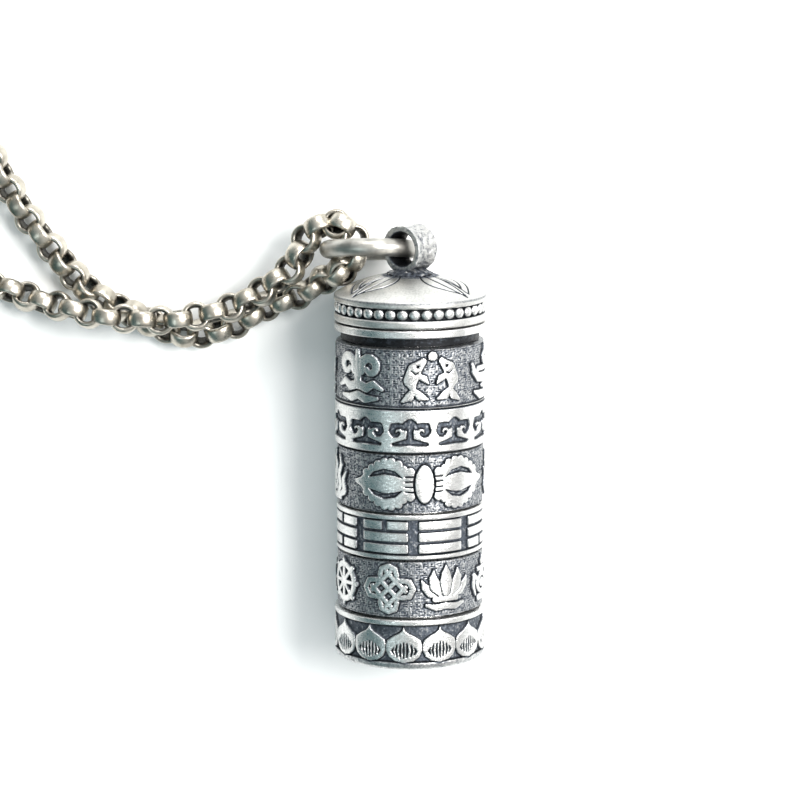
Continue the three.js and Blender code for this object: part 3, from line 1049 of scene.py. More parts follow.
@dataclass
class Studio:
    """The camera, the lights and the floor."""

    tilt: float = 10.0
    distance_mm: float = 200.0
    lens: float = 135.0
    aim: tuple = (-0.67, 17.3, 0.0)
    pale: tuple = (0.96, 0.97, 0.97)
    dim: tuple = (0.08, 0.19, 0.21)
    room: float = 0.8

    def build(self) -> None:
        """Makes the camera, the floor and the lights."""
        tilt = math.radians(self.tilt)
        place = Vector(self.aim) + self.distance_mm * Vector((0, math.sin(tilt), math.cos(tilt)))
        bpy.ops.object.camera_add(location=place * MM, rotation=(-tilt, 0, 0))
        camera = bpy.context.object
        camera.data.lens = self.lens
        camera.data.sensor_width = 36.0
        camera.data.clip_start = 0.001
        bpy.context.scene.camera = camera
        self._floor()
        self._lights()

    def _floor(self) -> None:
        """Makes the plain pale floor under the pendant."""
        deselect_all()
        gap = 0.02 * MM
        bpy.ops.mesh.primitive_plane_add(size=4.0, location=(0, 0, CAD_BOX[0][2] - gap))
        floor = bpy.context.object
        floor.name = "floor"
        shader = Shader("plain_floor")
        shader.set(Base_Color=(0.93, 0.94, 0.94), Roughness=0.8)
        floor.data.materials.append(shader.material)
        settle(floor)

    def _panel(self, name: str, place: tuple, size: float, power: float, colour: tuple) -> None:
        """Adds a soft panel light aimed at the wheel.

        Args:
            name: the light's name.
            place: where it stands, in metres.
            size: how wide it is, in metres.
            power: its power in watts.
            colour: its colour.
        """
        light = bpy.data.lights.new(name, "AREA")
        light.shape = "DISK"
        light.size = size
        light.energy = power
        light.color = colour
        holder = bpy.data.objects.new(name, light)
        holder.location = place
        aim = Vector((0, 0.012, 0)) - Vector(place)
        holder.rotation_euler = aim.to_track_quat("-Z", "Y").to_euler()
        bpy.context.collection.objects.link(holder)

    def _surroundings(self) -> None:
        """Makes a pale room that is dimmer and greener to the left and below."""
        world = bpy.data.worlds.new("pale_room")
        bpy.context.scene.world = world
        world.use_nodes = True
        tree = world.node_tree
        place = tree.nodes.new("ShaderNodeTexCoord")
        parts = tree.nodes.new("ShaderNodeSeparateXYZ")
        tree.links.new(place.outputs["Generated"], parts.inputs[0])
        right, up = (Wire(tree, parts.outputs[index]) for index in range(2))
        lit = (right * 0.5 + up * 0.25 + 0.5).step(0.1, 0.58)
        mix = tree.nodes.new("ShaderNodeMix")
        mix.data_type = "RGBA"
        tree.links.new(lit.socket, mix.inputs[0])
        mix.inputs[6].default_value = (*self.dim, 1)
        mix.inputs[7].default_value = (*self.pale, 1)
        background = tree.nodes["Background"]
        tree.links.new(mix.outputs[2], background.inputs["Color"])
        background.inputs["Strength"].default_value = self.room

    def _lights(self) -> None:
        """Adds the soft panels and the pale surroundings."""
        bpy.context.scene.view_settings.view_transform = "Standard"
        self._surroundings()
        self._panel("key_panel", (0.19, 0.10, 0.24), 0.20, 1.65, (1.0, 0.985, 0.96))
        self._panel("left_panel", (-0.16, -0.06, 0.30), 0.16, 0.12, (0.85, 0.98, 1.0))
        self._panel("top_panel", (0.02, 0.34, 0.14), 0.16, 0.8, (1.0, 1.0, 1.0))


# ---- Chain ----------------------------------------------------------------------------------


@dataclass(frozen=True)
class Winding:
    """How one strand is wound into its layer of the coil and ends at its ring."""

    radius: float  # of the outer turn
    turns: float
    start: float  # the angle that it starts at, in degrees
    way: int  # 1 for anticlockwise, -1 for clockwise
    bend: float  # how far round the last bend goes, in degrees
    height: float
    end_ring: str


@dataclass
class Chain:
    """The belcher chain: two strands from the jump ring, each wound into one layer of the coil."""

    link_radius: float = 0.8
    wire: float = 0.21
    band: float = 2.55  # how many times the wire's thickness a link is wide
    pitch: float = 1.2
    diameter: float = 2.0
    shown: float = 34.0  # the length in view, where the links are finer
    wobble: float = 7.0  # how unevenly the links lie, in degrees
    front: tuple = (
        (-4.9, 28.88, -1.7), (-5.7, 28.85, -1.75), (-6.55, 28.4, -1.8), (-7.15, 27.45, -1.9),
        (-7.5, 26.5, -2.0), (-8.2, 25.6, -2.1), (-9.4, 24.65, -2.2), (-10.6, 23.8, -2.3),
        (-11.7, 23.3, -2.3), (-12.75, 22.95, -2.3), (-14.15, 22.65, -2.2), (-15.1, 22.5, -2.1),
        (-16.3, 22.4, -2.0), (-17.4, 22.4, -2.0), (-18.8, 22.45, -2.0), (-20.0, 22.55, -2.0),
        (-21.5, 22.8, -2.1), (-23.1, 23.1, -2.8), (-24.7, 23.35, -3.5), (-26.3, 23.85, -4.0),
        (-27.7, 24.3, -4.05), (-29.6, 24.5, -4.05), (-32.1, 24.45, -4.05),
    )
    back: tuple = (
        (-4.9, 25.65, -1.85), (-5.5, 25.25, -2.3), (-6.65, 24.4, -3.1), (-7.95, 23.7, -3.75),
        (-9.6, 23.1, -4.05), (-10.8, 22.35, -4.05), (-12.0, 21.75, -4.05), (-13.6, 21.25, -4.05),
        (-14.9, 21.15, -4.05), (-16.0, 21.35, -4.05), (-17.6, 21.95, -4.05),
        (-19.1, 22.65, -4.05), (-20.4, 23.25, -4.05), (-21.65, 24.1, -4.05),
        (-23.1, 25.65, -4.05), (-24.65, 27.7, -4.05), (-26.05, 29.6, -4.05),
        (-27.1, 31.45, -4.05), (-28.1, 33.3, -4.0),
    )
    front_winding: Winding = Winding(14.8, 3.522, -46, -1, 38, -4.05, "clasp_ring")
    back_climb: tuple = ((-29.1, 35.2, -3.5), (-29.9, 36.9, -2.7))
    back_winding: Winding = Winding(15.0, 3.595, 13, 1, 42, -2.1, "tail_ring")
    coil_inner: float = 7.4

    def _wound(self, winding: Winding) -> list[tuple]:
        """A strand's turns, from the outer one to the inner one, and its last bend.

        Args:
            winding: how it is wound.

        Returns:
            Its points, in millimetres.
        """
        centre = middle("chain_coil")
        height, turns, way = winding.height, winding.turns, winding.way
        points = []

        def add(reach: float, angle: float, z: float) -> None:
            points.append((
                centre.x + reach * math.cos(angle), centre.y + reach * math.sin(angle), z,
            ))

        steps = int(turns * 24)
        for share in np.arange(steps + 1) / steps:
            reach = winding.radius + (self.coil_inner - winding.radius) * share
            add(reach, math.radians(winding.start) + way * TURN * turns * share, height)
        ring = winding.end_ring
        edge = (low(ring) if way > 0 else high(ring)).y - way * self.link_radius * 0.9
        last = winding.start + way * 360 * turns
        steps = 5
        for share in np.arange(1, steps + 1) / steps:
            reach = self.coil_inner + (abs(edge - centre.y) - self.coil_inner) * share * share
            add(reach, math.radians(last + way * winding.bend * share),
                height + (middle(ring).z - height) * share)
        return points

    def _smooth_path(self, points: Sequence[tuple]) -> Array:
        """A smooth curve through the points, at even short steps."""
        knots = np.array(points)
        knots = np.vstack([2 * knots[0] - knots[1], knots, 2 * knots[-1] - knots[-2]])
        fine = []
        for a, b, c, d in zip(knots, knots[1:], knots[2:], knots[3:]):
            for share in np.arange(8) / 8:  # a Catmull-Rom curve between b and c
                fine.append(0.5 * (
                    2 * b + (c - a) * share + (2 * a - 5 * b + 4 * c - d) * share ** 2
                    + (3 * b - a - 3 * c + d) * share ** 3
                ))
        fine.append(knots[-2])
        return np.array(fine)

    def _link(self, name: str, around: int, section: int) -> bpy.types.Object:
        """One belcher link, its axis along Z: a ring drawn out into a band."""
        link = ring_piece(self.link_radius, self.wire, around, section)
        link.name = name
        points = all_coordinates(link) / MM
        reach = np.hypot(points[:, 0], points[:, 1])
        out, up = (reach - self.link_radius) / self.wire, points[:, 2] / self.wire
        swell = self.link_radius + self.wire * np.sign(out) * np.abs(out) ** 0.85
        points[:, :2] *= (swell / reach)[:, None]
        points[:, 2] = self.wire * self.band * np.sign(up) * np.abs(up) ** 0.65
        set_coordinates(link, points * MM)
        # The link's bore carries painted shade.
        set_patina_and_shade(link, self._painted_bore_shade(all_coordinates(link)))
        return link

    def _painted_bore_shade(self, points: Array) -> Array:
        """Painted shade inside a link's bore: how dark its points are, dark inside the bore and
        clear outside.
        """
        reach = np.hypot(points[:, 0], points[:, 1]) / MM
        return np.clip((self.link_radius - reach) / self.wire + 0.25, 0, 1) * 0.9

    def strand(self, name: str, points: Sequence[tuple], roll: float) -> tuple:
        """Lays links along a path and joins them.

        Args:
            name: the strand's name.
            points: the path, in millimetres.
            roll: the first link's turn about the path, in degrees.

        Returns:
            The strand's object, its path in metres, and its length in metres.
        """
        path = self._smooth_path(points)
        steps = np.linalg.norm(np.diff(path, axis=0), axis=1)
        along = np.concatenate([[0], np.cumsum(steps)])
        count = int(along[-1] / self.pitch)
        templates = [self._link("shown_link", 32, 12), self._link("coiled_link", 12, 6)]
        shapes = []
        for template in templates:
            faces = np.array([tuple(face.vertices) for face in template.data.polygons])
            shapes.append((all_coordinates(template), faces))
        for template in templates:
            bpy.data.objects.remove(template, do_unlink=True)
        chance = random.Random(name)
        all_points, all_faces, shades, offset = [], [], [], 0

        def at(place: float) -> Array:
            return np.array([np.interp(place, along, path[:, k]) for k in range(3)])

        for index in range(count + 1):
            place = (index + 0.02) * along[-1] / count if index else 0.0
            place = min(place, along[-1])
            forward = Vector(at(min(place + 0.5, along[-1])) - at(max(place - 0.5, 0)))
            forward.normalize()
            side = forward.cross(Vector((0, 0, 1))).normalized()
            lift = side.cross(forward)
            uneven = chance.uniform(-self.wobble, self.wobble)
            uneven += 2 * self.wobble * math.sin(index * 0.37)
            turn = math.radians(roll + 90 * (index % 2) + uneven)
            axis = lift * math.cos(turn) + side * math.sin(turn)
            cross = axis.cross(forward)
            matrix = np.array([tuple(forward), tuple(cross), tuple(axis)])
            coordinates, faces = shapes[0] if place < self.shown else shapes[1]
            # Each link's bore carries painted shade.
            shades.append(self._painted_bore_shade(coordinates))
            all_points.append(coordinates @ matrix + at(place) * MM)
            all_faces.append(faces + offset)
            offset += len(coordinates)
        mesh = bpy.data.meshes.new(name)
        mesh.from_pydata(
            np.concatenate(all_points).tolist(), [],
            [tuple(int(v) for v in face) for group in all_faces for face in group],
        )
        piece = bpy.data.objects.new(name, mesh)
        bpy.context.collection.objects.link(piece)
        set_patina_and_shade(piece, np.concatenate(shades))
        return piece, [tuple(p) for p in (path * MM).tolist()], float(along[-1]) * MM

    def build(self, finishes: Finishes, clasp: list, tail: list) -> None:
        """Makes both strands and the links through the jump ring.

        Args:
            finishes: the finishes.
            clasp: the pieces at the front strand's end; nothing uses them.
            tail: the pieces at the back strand's end; nothing uses them.
        """
        saddle = self._saddle(finishes)
        front = [*self.front, *self._wound(self.front_winding)]
        back = [*self.back, *self.back_climb, *self._wound(self.back_winding)]
        for name, points, roll, nodes, end_pieces in (
            ("chain_front_strand", front, 20.0, ("chain_front_run", "chain_coil"),
             [*clasp, saddle]),
            ("chain_back_strand", back, 65.0, ("chain_back_run", "chain_coil"), tail),
        ):
            piece, path, length = self.strand(name, points, roll)
            finish_piece(piece, name, "necklace", finishes.chain, nodes, angle=60)
            log.info("%s is %.1f mm long", name, length / MM)

    def _saddle(self, finishes: Finishes) -> bpy.types.Object:
        """The links that pass through the jump ring, on an arc round its wire."""
        arc_x = low("jump_ring").x + 0.65
        arc_y, height = middle("chain_saddle").y, middle("chain_saddle").z
        arc_radius, tilt = 1.72, 25
        pieces = []
        for index, angle in enumerate((62, 21, -21, -62)):
            turn = math.radians(angle)
            link = self._link(f"saddle_link_{index}", 32, 12)
            forward = Vector((-math.sin(turn), math.cos(turn), 0))
            axis = Vector((0, 0, 1)) if index % 2 else Vector((math.cos(turn), math.sin(turn), 0))
            tip = Matrix.Rotation(math.radians(tilt), 3, forward) @ axis
            matrix = np.array([tuple(forward), tuple(tip.cross(forward)), tuple(tip)])
            centre = np.array((
                arc_x + arc_radius * math.cos(turn), arc_y + arc_radius * math.sin(turn), height,
            ))
            set_coordinates(link, all_coordinates(link) @ matrix + centre * MM)
            pieces.append(link)
        return finish_piece(join_pieces(pieces), "chain_saddle_links", "necklace",
                            finishes.chain, ("chain_saddle",), angle=60)


# ---- Wheel ----------------------------------------------------------------------------------


@dataclass
class RingStack:
    """The five turning rings."""

    bore: float = 4.3
    outer_corner: float = 0.05
    bore_corner: float = 0.06
    row: float = 0.046
    depth: float = 0.26
    tone: float = 0.7
    cell: float = 0.52

    def _ring(self, name: str, radius: float, work: Callable[[Relief], None],
              finishes: Finishes) -> None:
        """Makes one ring with its relief."""
        node = "ring_" + name
        bottom, top = ends(node)
        corner, inner = self.outer_corner, self.bore_corner
        face = [(radius - corner, bottom), (radius, bottom + corner), (radius, top - corner),
                (radius - corner, top)]
        back = [(self.bore + inner, top), (self.bore, top - inner), (self.bore, bottom + inner),
                (self.bore + inner, bottom)]
        piece = ReliefTurning(face, back, int((top - bottom) / self.row), work).build()
        finish_piece(piece, node + "_relief", name + "_ring", finishes.oxidised,
                     (node,), 50)

    def _ornament_ring(self, relief: Relief, ornaments: Sequence[Callable], count: int,
                       phase: float, size: float, seed: float, lift: float) -> None:
        """Sinks a fretted ground and raises ornaments on it.

        Args:
            relief: the ring's face.
            ornaments: the drawings, which follow each other round the ring.
            count: how many places there are.
            phase: where the first one is, in degrees.
            size: how many times its drawn size an ornament is.
            seed: the punching's seed.
            lift: how far above the ring's middle the ornaments stand.
        """
        relief.sink_ground(self.depth, self.tone, self.cell, seed)
        local, number = relief.repeats(count, phase)
        shapes = relief.nowhere()
        for index, ornament in enumerate(ornaments):
            drawn = ornament(local / size, (relief.t - relief.top / 2 - lift) / size) * size
            shapes = np.where(np.mod(number, len(ornaments)) == index, drawn, shapes)
        relief.raise_shape(shapes)

    def chant(self, relief: Relief) -> None:
        """The upper ornament ring: six bold emblems, and a thin bright foot."""
        emblems = (fish_ornament, lamp_ornament, cloud_scroll_ornament)
        self._ornament_ring(relief, emblems, 6, 17.0, 1.03, 3.1, 0.02)
        relief.raise_shape(relief.t - 0.1, -0.05)

    def cloud(self, relief: Relief) -> None:
        """The bright ring with ten sunk clouds and slightly dark end edges."""
        local, _ = relief.repeats(10, 0.0)
        clouds = ruyi_cloud(local * 1.02, (relief.t - 1.42) * 1.04)
        relief.sink_shape(clouds, 0.2, 0.5, 7.7)
        end = np.minimum(relief.t, relief.top - relief.t)
        relief.darken(0.85 * np.clip(1 - end / 0.09, 0, 1))

    def vajra(self, relief: Relief) -> None:
        """The ring with two vajras and two flaming jewels between them."""
        phase = 11
        relief.sink_ground(self.depth, self.tone, 0.42, 5.3)
        across = relief.t - relief.top / 2
        shape = double_vajra(relief.repeats(2, phase)[0], across)
        jewels = flame_jewel_ornament(relief.repeats(2, phase + 90)[0], across)
        relief.raise_shape(join(shape, jewels))

    def trigram(self, relief: Relief) -> None:
        """The ring with the eight trigrams between two bright rims."""
        relief.sink_shape(np.full(relief.s.shape, -1.0), 0.2, 0.52, 9.9)
        local, number = relief.repeats(8, -19.9)
        # Each row's bits say which of the eight trigrams have a whole bar there.
        rows = {0.77: 0b00011110, 0.0: 0b10000111, -0.77: 0b01001011}
        bars = relief.nowhere()
        for offset, pattern in rows.items():
            place = (0, relief.top / 2 + offset)
            drawn = bar(local, relief.t, place, 1.58, 0.275, 0.08)
            whole = (np.right_shift(pattern, np.mod(number, 8)) & 1).astype(bool)
            split = cut(drawn, bar(local, relief.t, place, 0.19, 0.5, 0.02))
            bars = join(bars, np.where(whole, drawn, split))
        rims = join(relief.t - 0.3, relief.top - 0.32 - relief.t)
        for shape in (bars, rims):
            relief.raise_shape(shape, outline_width=0.07)

    def seal(self, relief: Relief) -> None:
        """The lower ornament ring: eight close emblems."""
        emblems = (knot_ornament, lotus_ornament, vase_ornament, wheel_ornament)
        self._ornament_ring(relief, emblems, 8, -16.5, 0.93, 1.7, 0.05)

    def build(self, finishes: Finishes) -> None:
        """Makes the five rings."""
        for name, radius, work in (
            ("chant", 5.05, self.chant), ("cloud", 5.0, self.cloud), ("vajra", 5.02, self.vajra),
            ("trigram", 4.93, self.trigram), ("seal", 5.02, self.seal),
        ):
            self._ring(name, radius, work, finishes)


@dataclass
class Barrel:
    """The fixed parts that carry the rings: base cup, core tube and collar."""

    petals: int = 13
    petal_phase: float = -4.5
    radius: float = 5.05
    bore: float = 4.25
    foot: float = 0.78  # the worn band below the petals
    rim: float = 0.42  # the bright band above them
    thread_pitch: float = 0.25

    def _petal(self, s: Array, t: Array, half: float) -> Array:
        """One lotus petal: a pointed onion with its foot at t = 0."""
        m = np.abs(s)
        side = [(0.0, 2.4), (0.08, 2.16), (0.3, 1.98), (0.72, 1.76), (half - 0.12, 1.5),
                (half - 0.03, 1.18), (half - 0.04, 0.8), (half - 0.22, 0.4),
                (half * 0.5, 0.12), (0.0, 0.0)]
        return outline(m, t, [*side, (-0.5, 0.0), (-0.5, 2.5)])

    def lotus(self, relief: Relief) -> None:
        """The base's petals, rim and worn foot."""
        local, _ = relief.repeats(self.petals, self.petal_phase)
        t = relief.t - self.foot
        edge = self.foot + 0.02
        ground = np.maximum(edge - relief.t, relief.t - (relief.top - self.rim))
        relief.sink_shape(ground, 0.2, 0.55, 2.2)
        petal = self._petal(local, t, relief.around / self.petals / 2)
        relief.raise_shape(petal, outline_width=0.085)
        for place, reach, start in ((0.0, 1.05, 0.3), (0.24, 0.98, 0.34), (-0.24, 0.95, 0.3),
                                    (0.5, 0.78, 0.42), (-0.5, 0.8, 0.4), (0.74, 0.45, 0.55),
                                    (-0.74, 0.42, 0.56)):
            lean = place * 1.05
            slit = path_stroke(local, t, [(place * 0.9, start), (lean, start + reach / 2),
                                          (place * 0.92, start + reach)], 0.012, 0.05, 0.01)
            relief.engrave(slit, 0.1, 0.045)
        wear = stipple(relief.s, relief.t, 0.16, 4.4)
        low_band = ramp(relief.t - edge + 0.1, 0.2)
        relief.height[:] -= 0.03 * wear * low_band
        relief.darken(0.42 * wear * low_band)

    def build(self, finishes: Finishes) -> None:
        """Makes the base cup, the core tube and the collar."""
        top = high("base_cup").y
        radius = self.radius
        face = [(radius - 0.42, 0.0), (radius - 0.2, 0.07), (radius - 0.06, 0.22),
                (radius, 0.45), (radius, top - 0.05), (radius - 0.05, top)]
        bore, floor = self.bore, 0.8
        back = [(bore + 0.05, top), (bore, top - 0.06), (bore, floor), (0.02, floor), (0.02, 0.0),
                (2.2, 0.0), (2.3, 0.06), (4.0, 0.06), (4.1, 0.0)]
        piece = ReliefTurning(face, back, 78, self.lotus).build()
        finish_piece(piece, "base_cup_lotus", "barrel", finishes.oxidised,
                     ("base_cup",), 50)
        self._core(finishes)
        self._collar(finishes)

    def _core(self, finishes: Finishes) -> None:
        """The core tube with its threaded neck."""
        bottom, top = ends("core_tube")
        outer, inner, neck = high("core_tube").x, 3.5, 3.9
        shoulder = low("cap_shell").y - 0.12
        profile = [(inner, bottom), (outer, bottom), (outer, shoulder),
                   (neck - 0.1, shoulder + 0.1)]
        pitch, y = self.thread_pitch, shoulder + 0.15
        while y + pitch < top - 0.05:
            profile += [(neck - 0.12, y), (neck, y + pitch * 0.45), (neck, y + pitch * 0.6)]
            y += pitch
        profile += [(neck - 0.12, y), (neck - 0.15, top), (inner, top)]
        piece = turned_piece(profile)
        finish_piece(piece, "core_tube_turned", "barrel", finishes.polished,
                     ("core_tube",), 30)

    def _collar(self, finishes: Finishes) -> None:
        """The bright collar over the dark neck recess."""
        bottom, top = ends("retaining_collar")
        neck, outer, recess_height = 4.6, 5.04, 0.55
        step = bottom + recess_height
        face = [(neck, bottom), (neck, step), (outer - 0.04, step + 0.02), (outer, step + 0.06),
                (outer, top - 0.05), (outer - 0.04, top)]
        back = [(self.bore, top), (self.bore, bottom)]

        def work(relief: Relief) -> None:
            punch = stipple(relief.s, relief.t, 0.2, 6.6)
            recess = ramp(relief.t - recess_height - 0.01, 0.12)
            recessed = 0.92 + 0.4 * (0.5 - punch) + 0.3 * np.clip(1 - relief.t / 0.2, 0, 1)
            relief.dark[:] = recess * recessed + 0.12 * punch * (1 - recess)
            relief.height[:] = 0.012 * punch * recess

        piece = ReliefTurning(face, back, 36, work, columns=384).build()
        finish_piece(piece, "retaining_collar_turned", "barrel", finishes.oxidised,
                     ("retaining_collar",), 40)


@dataclass
class Cap:
    """The cap: engraved dome, bead row, bush and gasket."""

    beads: int = 38
    radius: float = 5.05
    bead_radius: float = 0.385
    bead_squash: float = 0.62
    channel_radius: float = 4.78
    ceiling: float = 24.25
    thread_pitch: float = 0.25
    leaf_groups: tuple = (-51.0, 51.0, 129.0, 231.0)  # in degrees round the dome
    leaves: tuple = (  # from, to, half width and bow of each leaf of a group, the front one first
        ((-0.1, 1.2), (0.0, 4.78), 0.36, 0.1),
        ((-0.5, 1.3), (-0.3, 4.3), 0.5, 0.45),
        ((0.45, 1.6), (0.6, 3.8), 0.36, -0.4),
        ((0.35, 1.1), (0.5, 4.5), 0.8, -0.7),
    )

    def _leaf(
        self, s: Array, t: Array, start: tuple, end: tuple, width: float, bow: float,
    ) -> Array:
        """A long pointed leaf between two points, bowed to one side."""
        ds, dt = end[0] - start[0], end[1] - start[1]
        length = math.hypot(ds, dt)
        u = ((s - start[0]) * ds + (t - start[1]) * dt) / length / length
        v = ((t - start[1]) * ds - (s - start[0]) * dt) / length
        share = np.clip(u, 0, 1)
        half = width * np.sin(np.pi * share ** 0.75) ** 0.8
        beyond = np.maximum(np.maximum(-u, u - 1), 0) * length
        aside = np.abs(v - bow * np.sin(np.pi * share)) - half
        inside = (beyond <= 0) & (aside < 0)
        return np.hypot(np.maximum(aside, 0), beyond) + np.where(inside, aside, 0)

    def _dome_work(self, relief: Relief, dome_start: float, radii: tuple[Array, Array]) -> None:
        """Engraves the leaves on the dome and darkens it round the bail's foot.

        Args:
            relief: the cap's face.
            dome_start: where along the face the dome begins.
            radii: distances along the face, and the radius at each.
        """
        radius = np.interp(relief.t, *radii)
        angle = relief.s / relief.around * TURN
        x, z = radius * np.sin(angle), radius * np.cos(angle)
        on_dome = relief.t > dome_start
        lines = relief.nowhere()
        for group in self.leaf_groups:
            turn = math.radians(group)
            out = x * math.sin(turn) + z * math.cos(turn)
            mirrored = -1 if math.sin(turn) < 0 else 1
            across = (x * math.cos(turn) - z * math.sin(turn)) * mirrored
            covered = np.full(relief.s.shape, False)
            for leaf in self.leaves:
                distance = self._leaf(across, out, *leaf)
                lines = np.minimum(lines, np.where(covered, 9.0, np.abs(distance) - 0.055))
                covered |= distance < -0.02
        relief.engrave(np.where(on_dome, lines, 9.0), 0.08, 0.05)
        crown = np.where(on_dome, radius - 1.75, 9.0)
        punch = stipple(relief.s * radius / self.radius, relief.t, 0.2, 8.8)
        relief.darken(ramp(crown, 0.35) * (0.5 + 0.5 * (0.5 - punch)))
        relief.height[:] -= 0.03 * punch * ramp(crown, 0.3)

    def build(self, finishes: Finishes) -> None:
        """Makes the cap's pieces."""
        bottom, top = ends("cap_shell")
        radius, inner = self.radius, self.channel_radius
        rim_top, channel_top, edge = bottom + 0.5, bottom + 1.3, bottom + 1.7
        rise = top - edge
        sphere = (radius ** 2 + rise ** 2) / (2 * rise)
        side = [(radius - 0.06, bottom), (radius, bottom + 0.06), (radius, rim_top - 0.1),
                (radius - 0.06, rim_top), (inner, rim_top + 0.06), (inner, channel_top - 0.06),
                (radius - 0.05, channel_top), (radius, channel_top + 0.06), (radius, edge - 0.08)]
        dome, steps = [], 25
        for step in range(steps):
            reach = (radius - 0.03) * (1 - step / steps) + 0.35 * step / steps
            dome.append((reach, top - sphere + math.sqrt(sphere ** 2 - reach ** 2)))
        face = [*side, *dome]
        lengths = np.hypot(*np.diff(np.array(face), axis=0).T)
        along = np.concatenate([[0], np.cumsum(lengths)])
        dome_start = along[len(side) - 1] + 0.12
        channel = (along[3], along[6])
        radii = (along, np.array([point[0] for point in face]))

        def work(relief: Relief) -> None:
            self._dome_work(relief, dome_start, radii)
            middle_t = (channel[0] + channel[1]) / 2
            inside = ramp(np.abs(relief.t - middle_t) - (channel[1] - channel[0]) / 2 + 0.06, 0.08)
            relief.darken(0.97 * inside)
            groove = np.abs(relief.t - dome_start + 0.1) - 0.03
            relief.darken(0.35 * ramp(groove, 0.08))

        back = [(0.02, top), (0.02, self.ceiling), (4.5, self.ceiling), (4.5, bottom + 0.05),
                (4.56, bottom)]
        piece = ReliefTurning(face, back, 118, work, columns=672).build()
        finish_piece(piece, "cap_shell_engraved", "cap", finishes.satin,
                     ("cap_shell",), 50)
        self._beads(finishes, bottom + 0.9)
        self._bush(finishes)

    def _beads(self, finishes: Finishes, height: float) -> None:
        """The bead row in its dark channel."""
        beads = []
        for index in range(self.beads):
            angle = TURN * (index + 0.35) / self.beads
            deselect_all()
            bpy.ops.mesh.primitive_uv_sphere_add(
                segments=14, ring_count=9, radius=self.bead_radius * MM,
            )
            bead = bpy.context.object
            edit_whole(bead, lambda: bpy.ops.transform.resize(value=(1, 1, self.bead_squash)))
            turn = Matrix.Rotation(angle, 4, "Y")
            bead.matrix_world = turn @ Matrix.Translation(Vector((0, height, 4.8)) * MM)
            settle(bead)
            beads.append(bead)
        row = join_pieces(beads)
        points = all_coordinates(row) / MM
        set_patina_and_shade(row, (4.92 - np.hypot(points[:, 0], points[:, 2])) / 0.12)
        finish_piece(row, "cap_bead_row", "cap", finishes.oxidised, (), 60)

    def _bush(self, finishes: Finishes) -> None:
        """The threaded bush and the gasket."""
        bottom, top = ends("cap_bush")
        outer, inner, pitch = high("cap_bush").x, 4.0, self.thread_pitch
        profile = [(outer, top), (outer, bottom), (inner + 0.02, bottom)]
        y = bottom + 0.05
        while y + pitch < top:
            profile += [(inner + 0.1, y), (inner + 0.01, y + pitch * 0.45),
                        (inner + 0.01, y + pitch * 0.6)]
            y += pitch
        profile += [(inner + 0.1, y), (inner + 0.02, top)]
        piece = turned_piece(profile)
        finish_piece(piece, "cap_bush_threaded", "cap", finishes.polished,
                     ("cap_bush",), 30)
        bottom, top = ends("cap_gasket")
        section = curl((3.7, (bottom + top) / 2), (top - bottom) / 2, 0, 330, 11)
        ring = turned_piece(section, 96)
        finish_piece(ring, "cap_gasket_ring", "gasket", finishes.rubber,
                     ("cap_gasket",), 60)


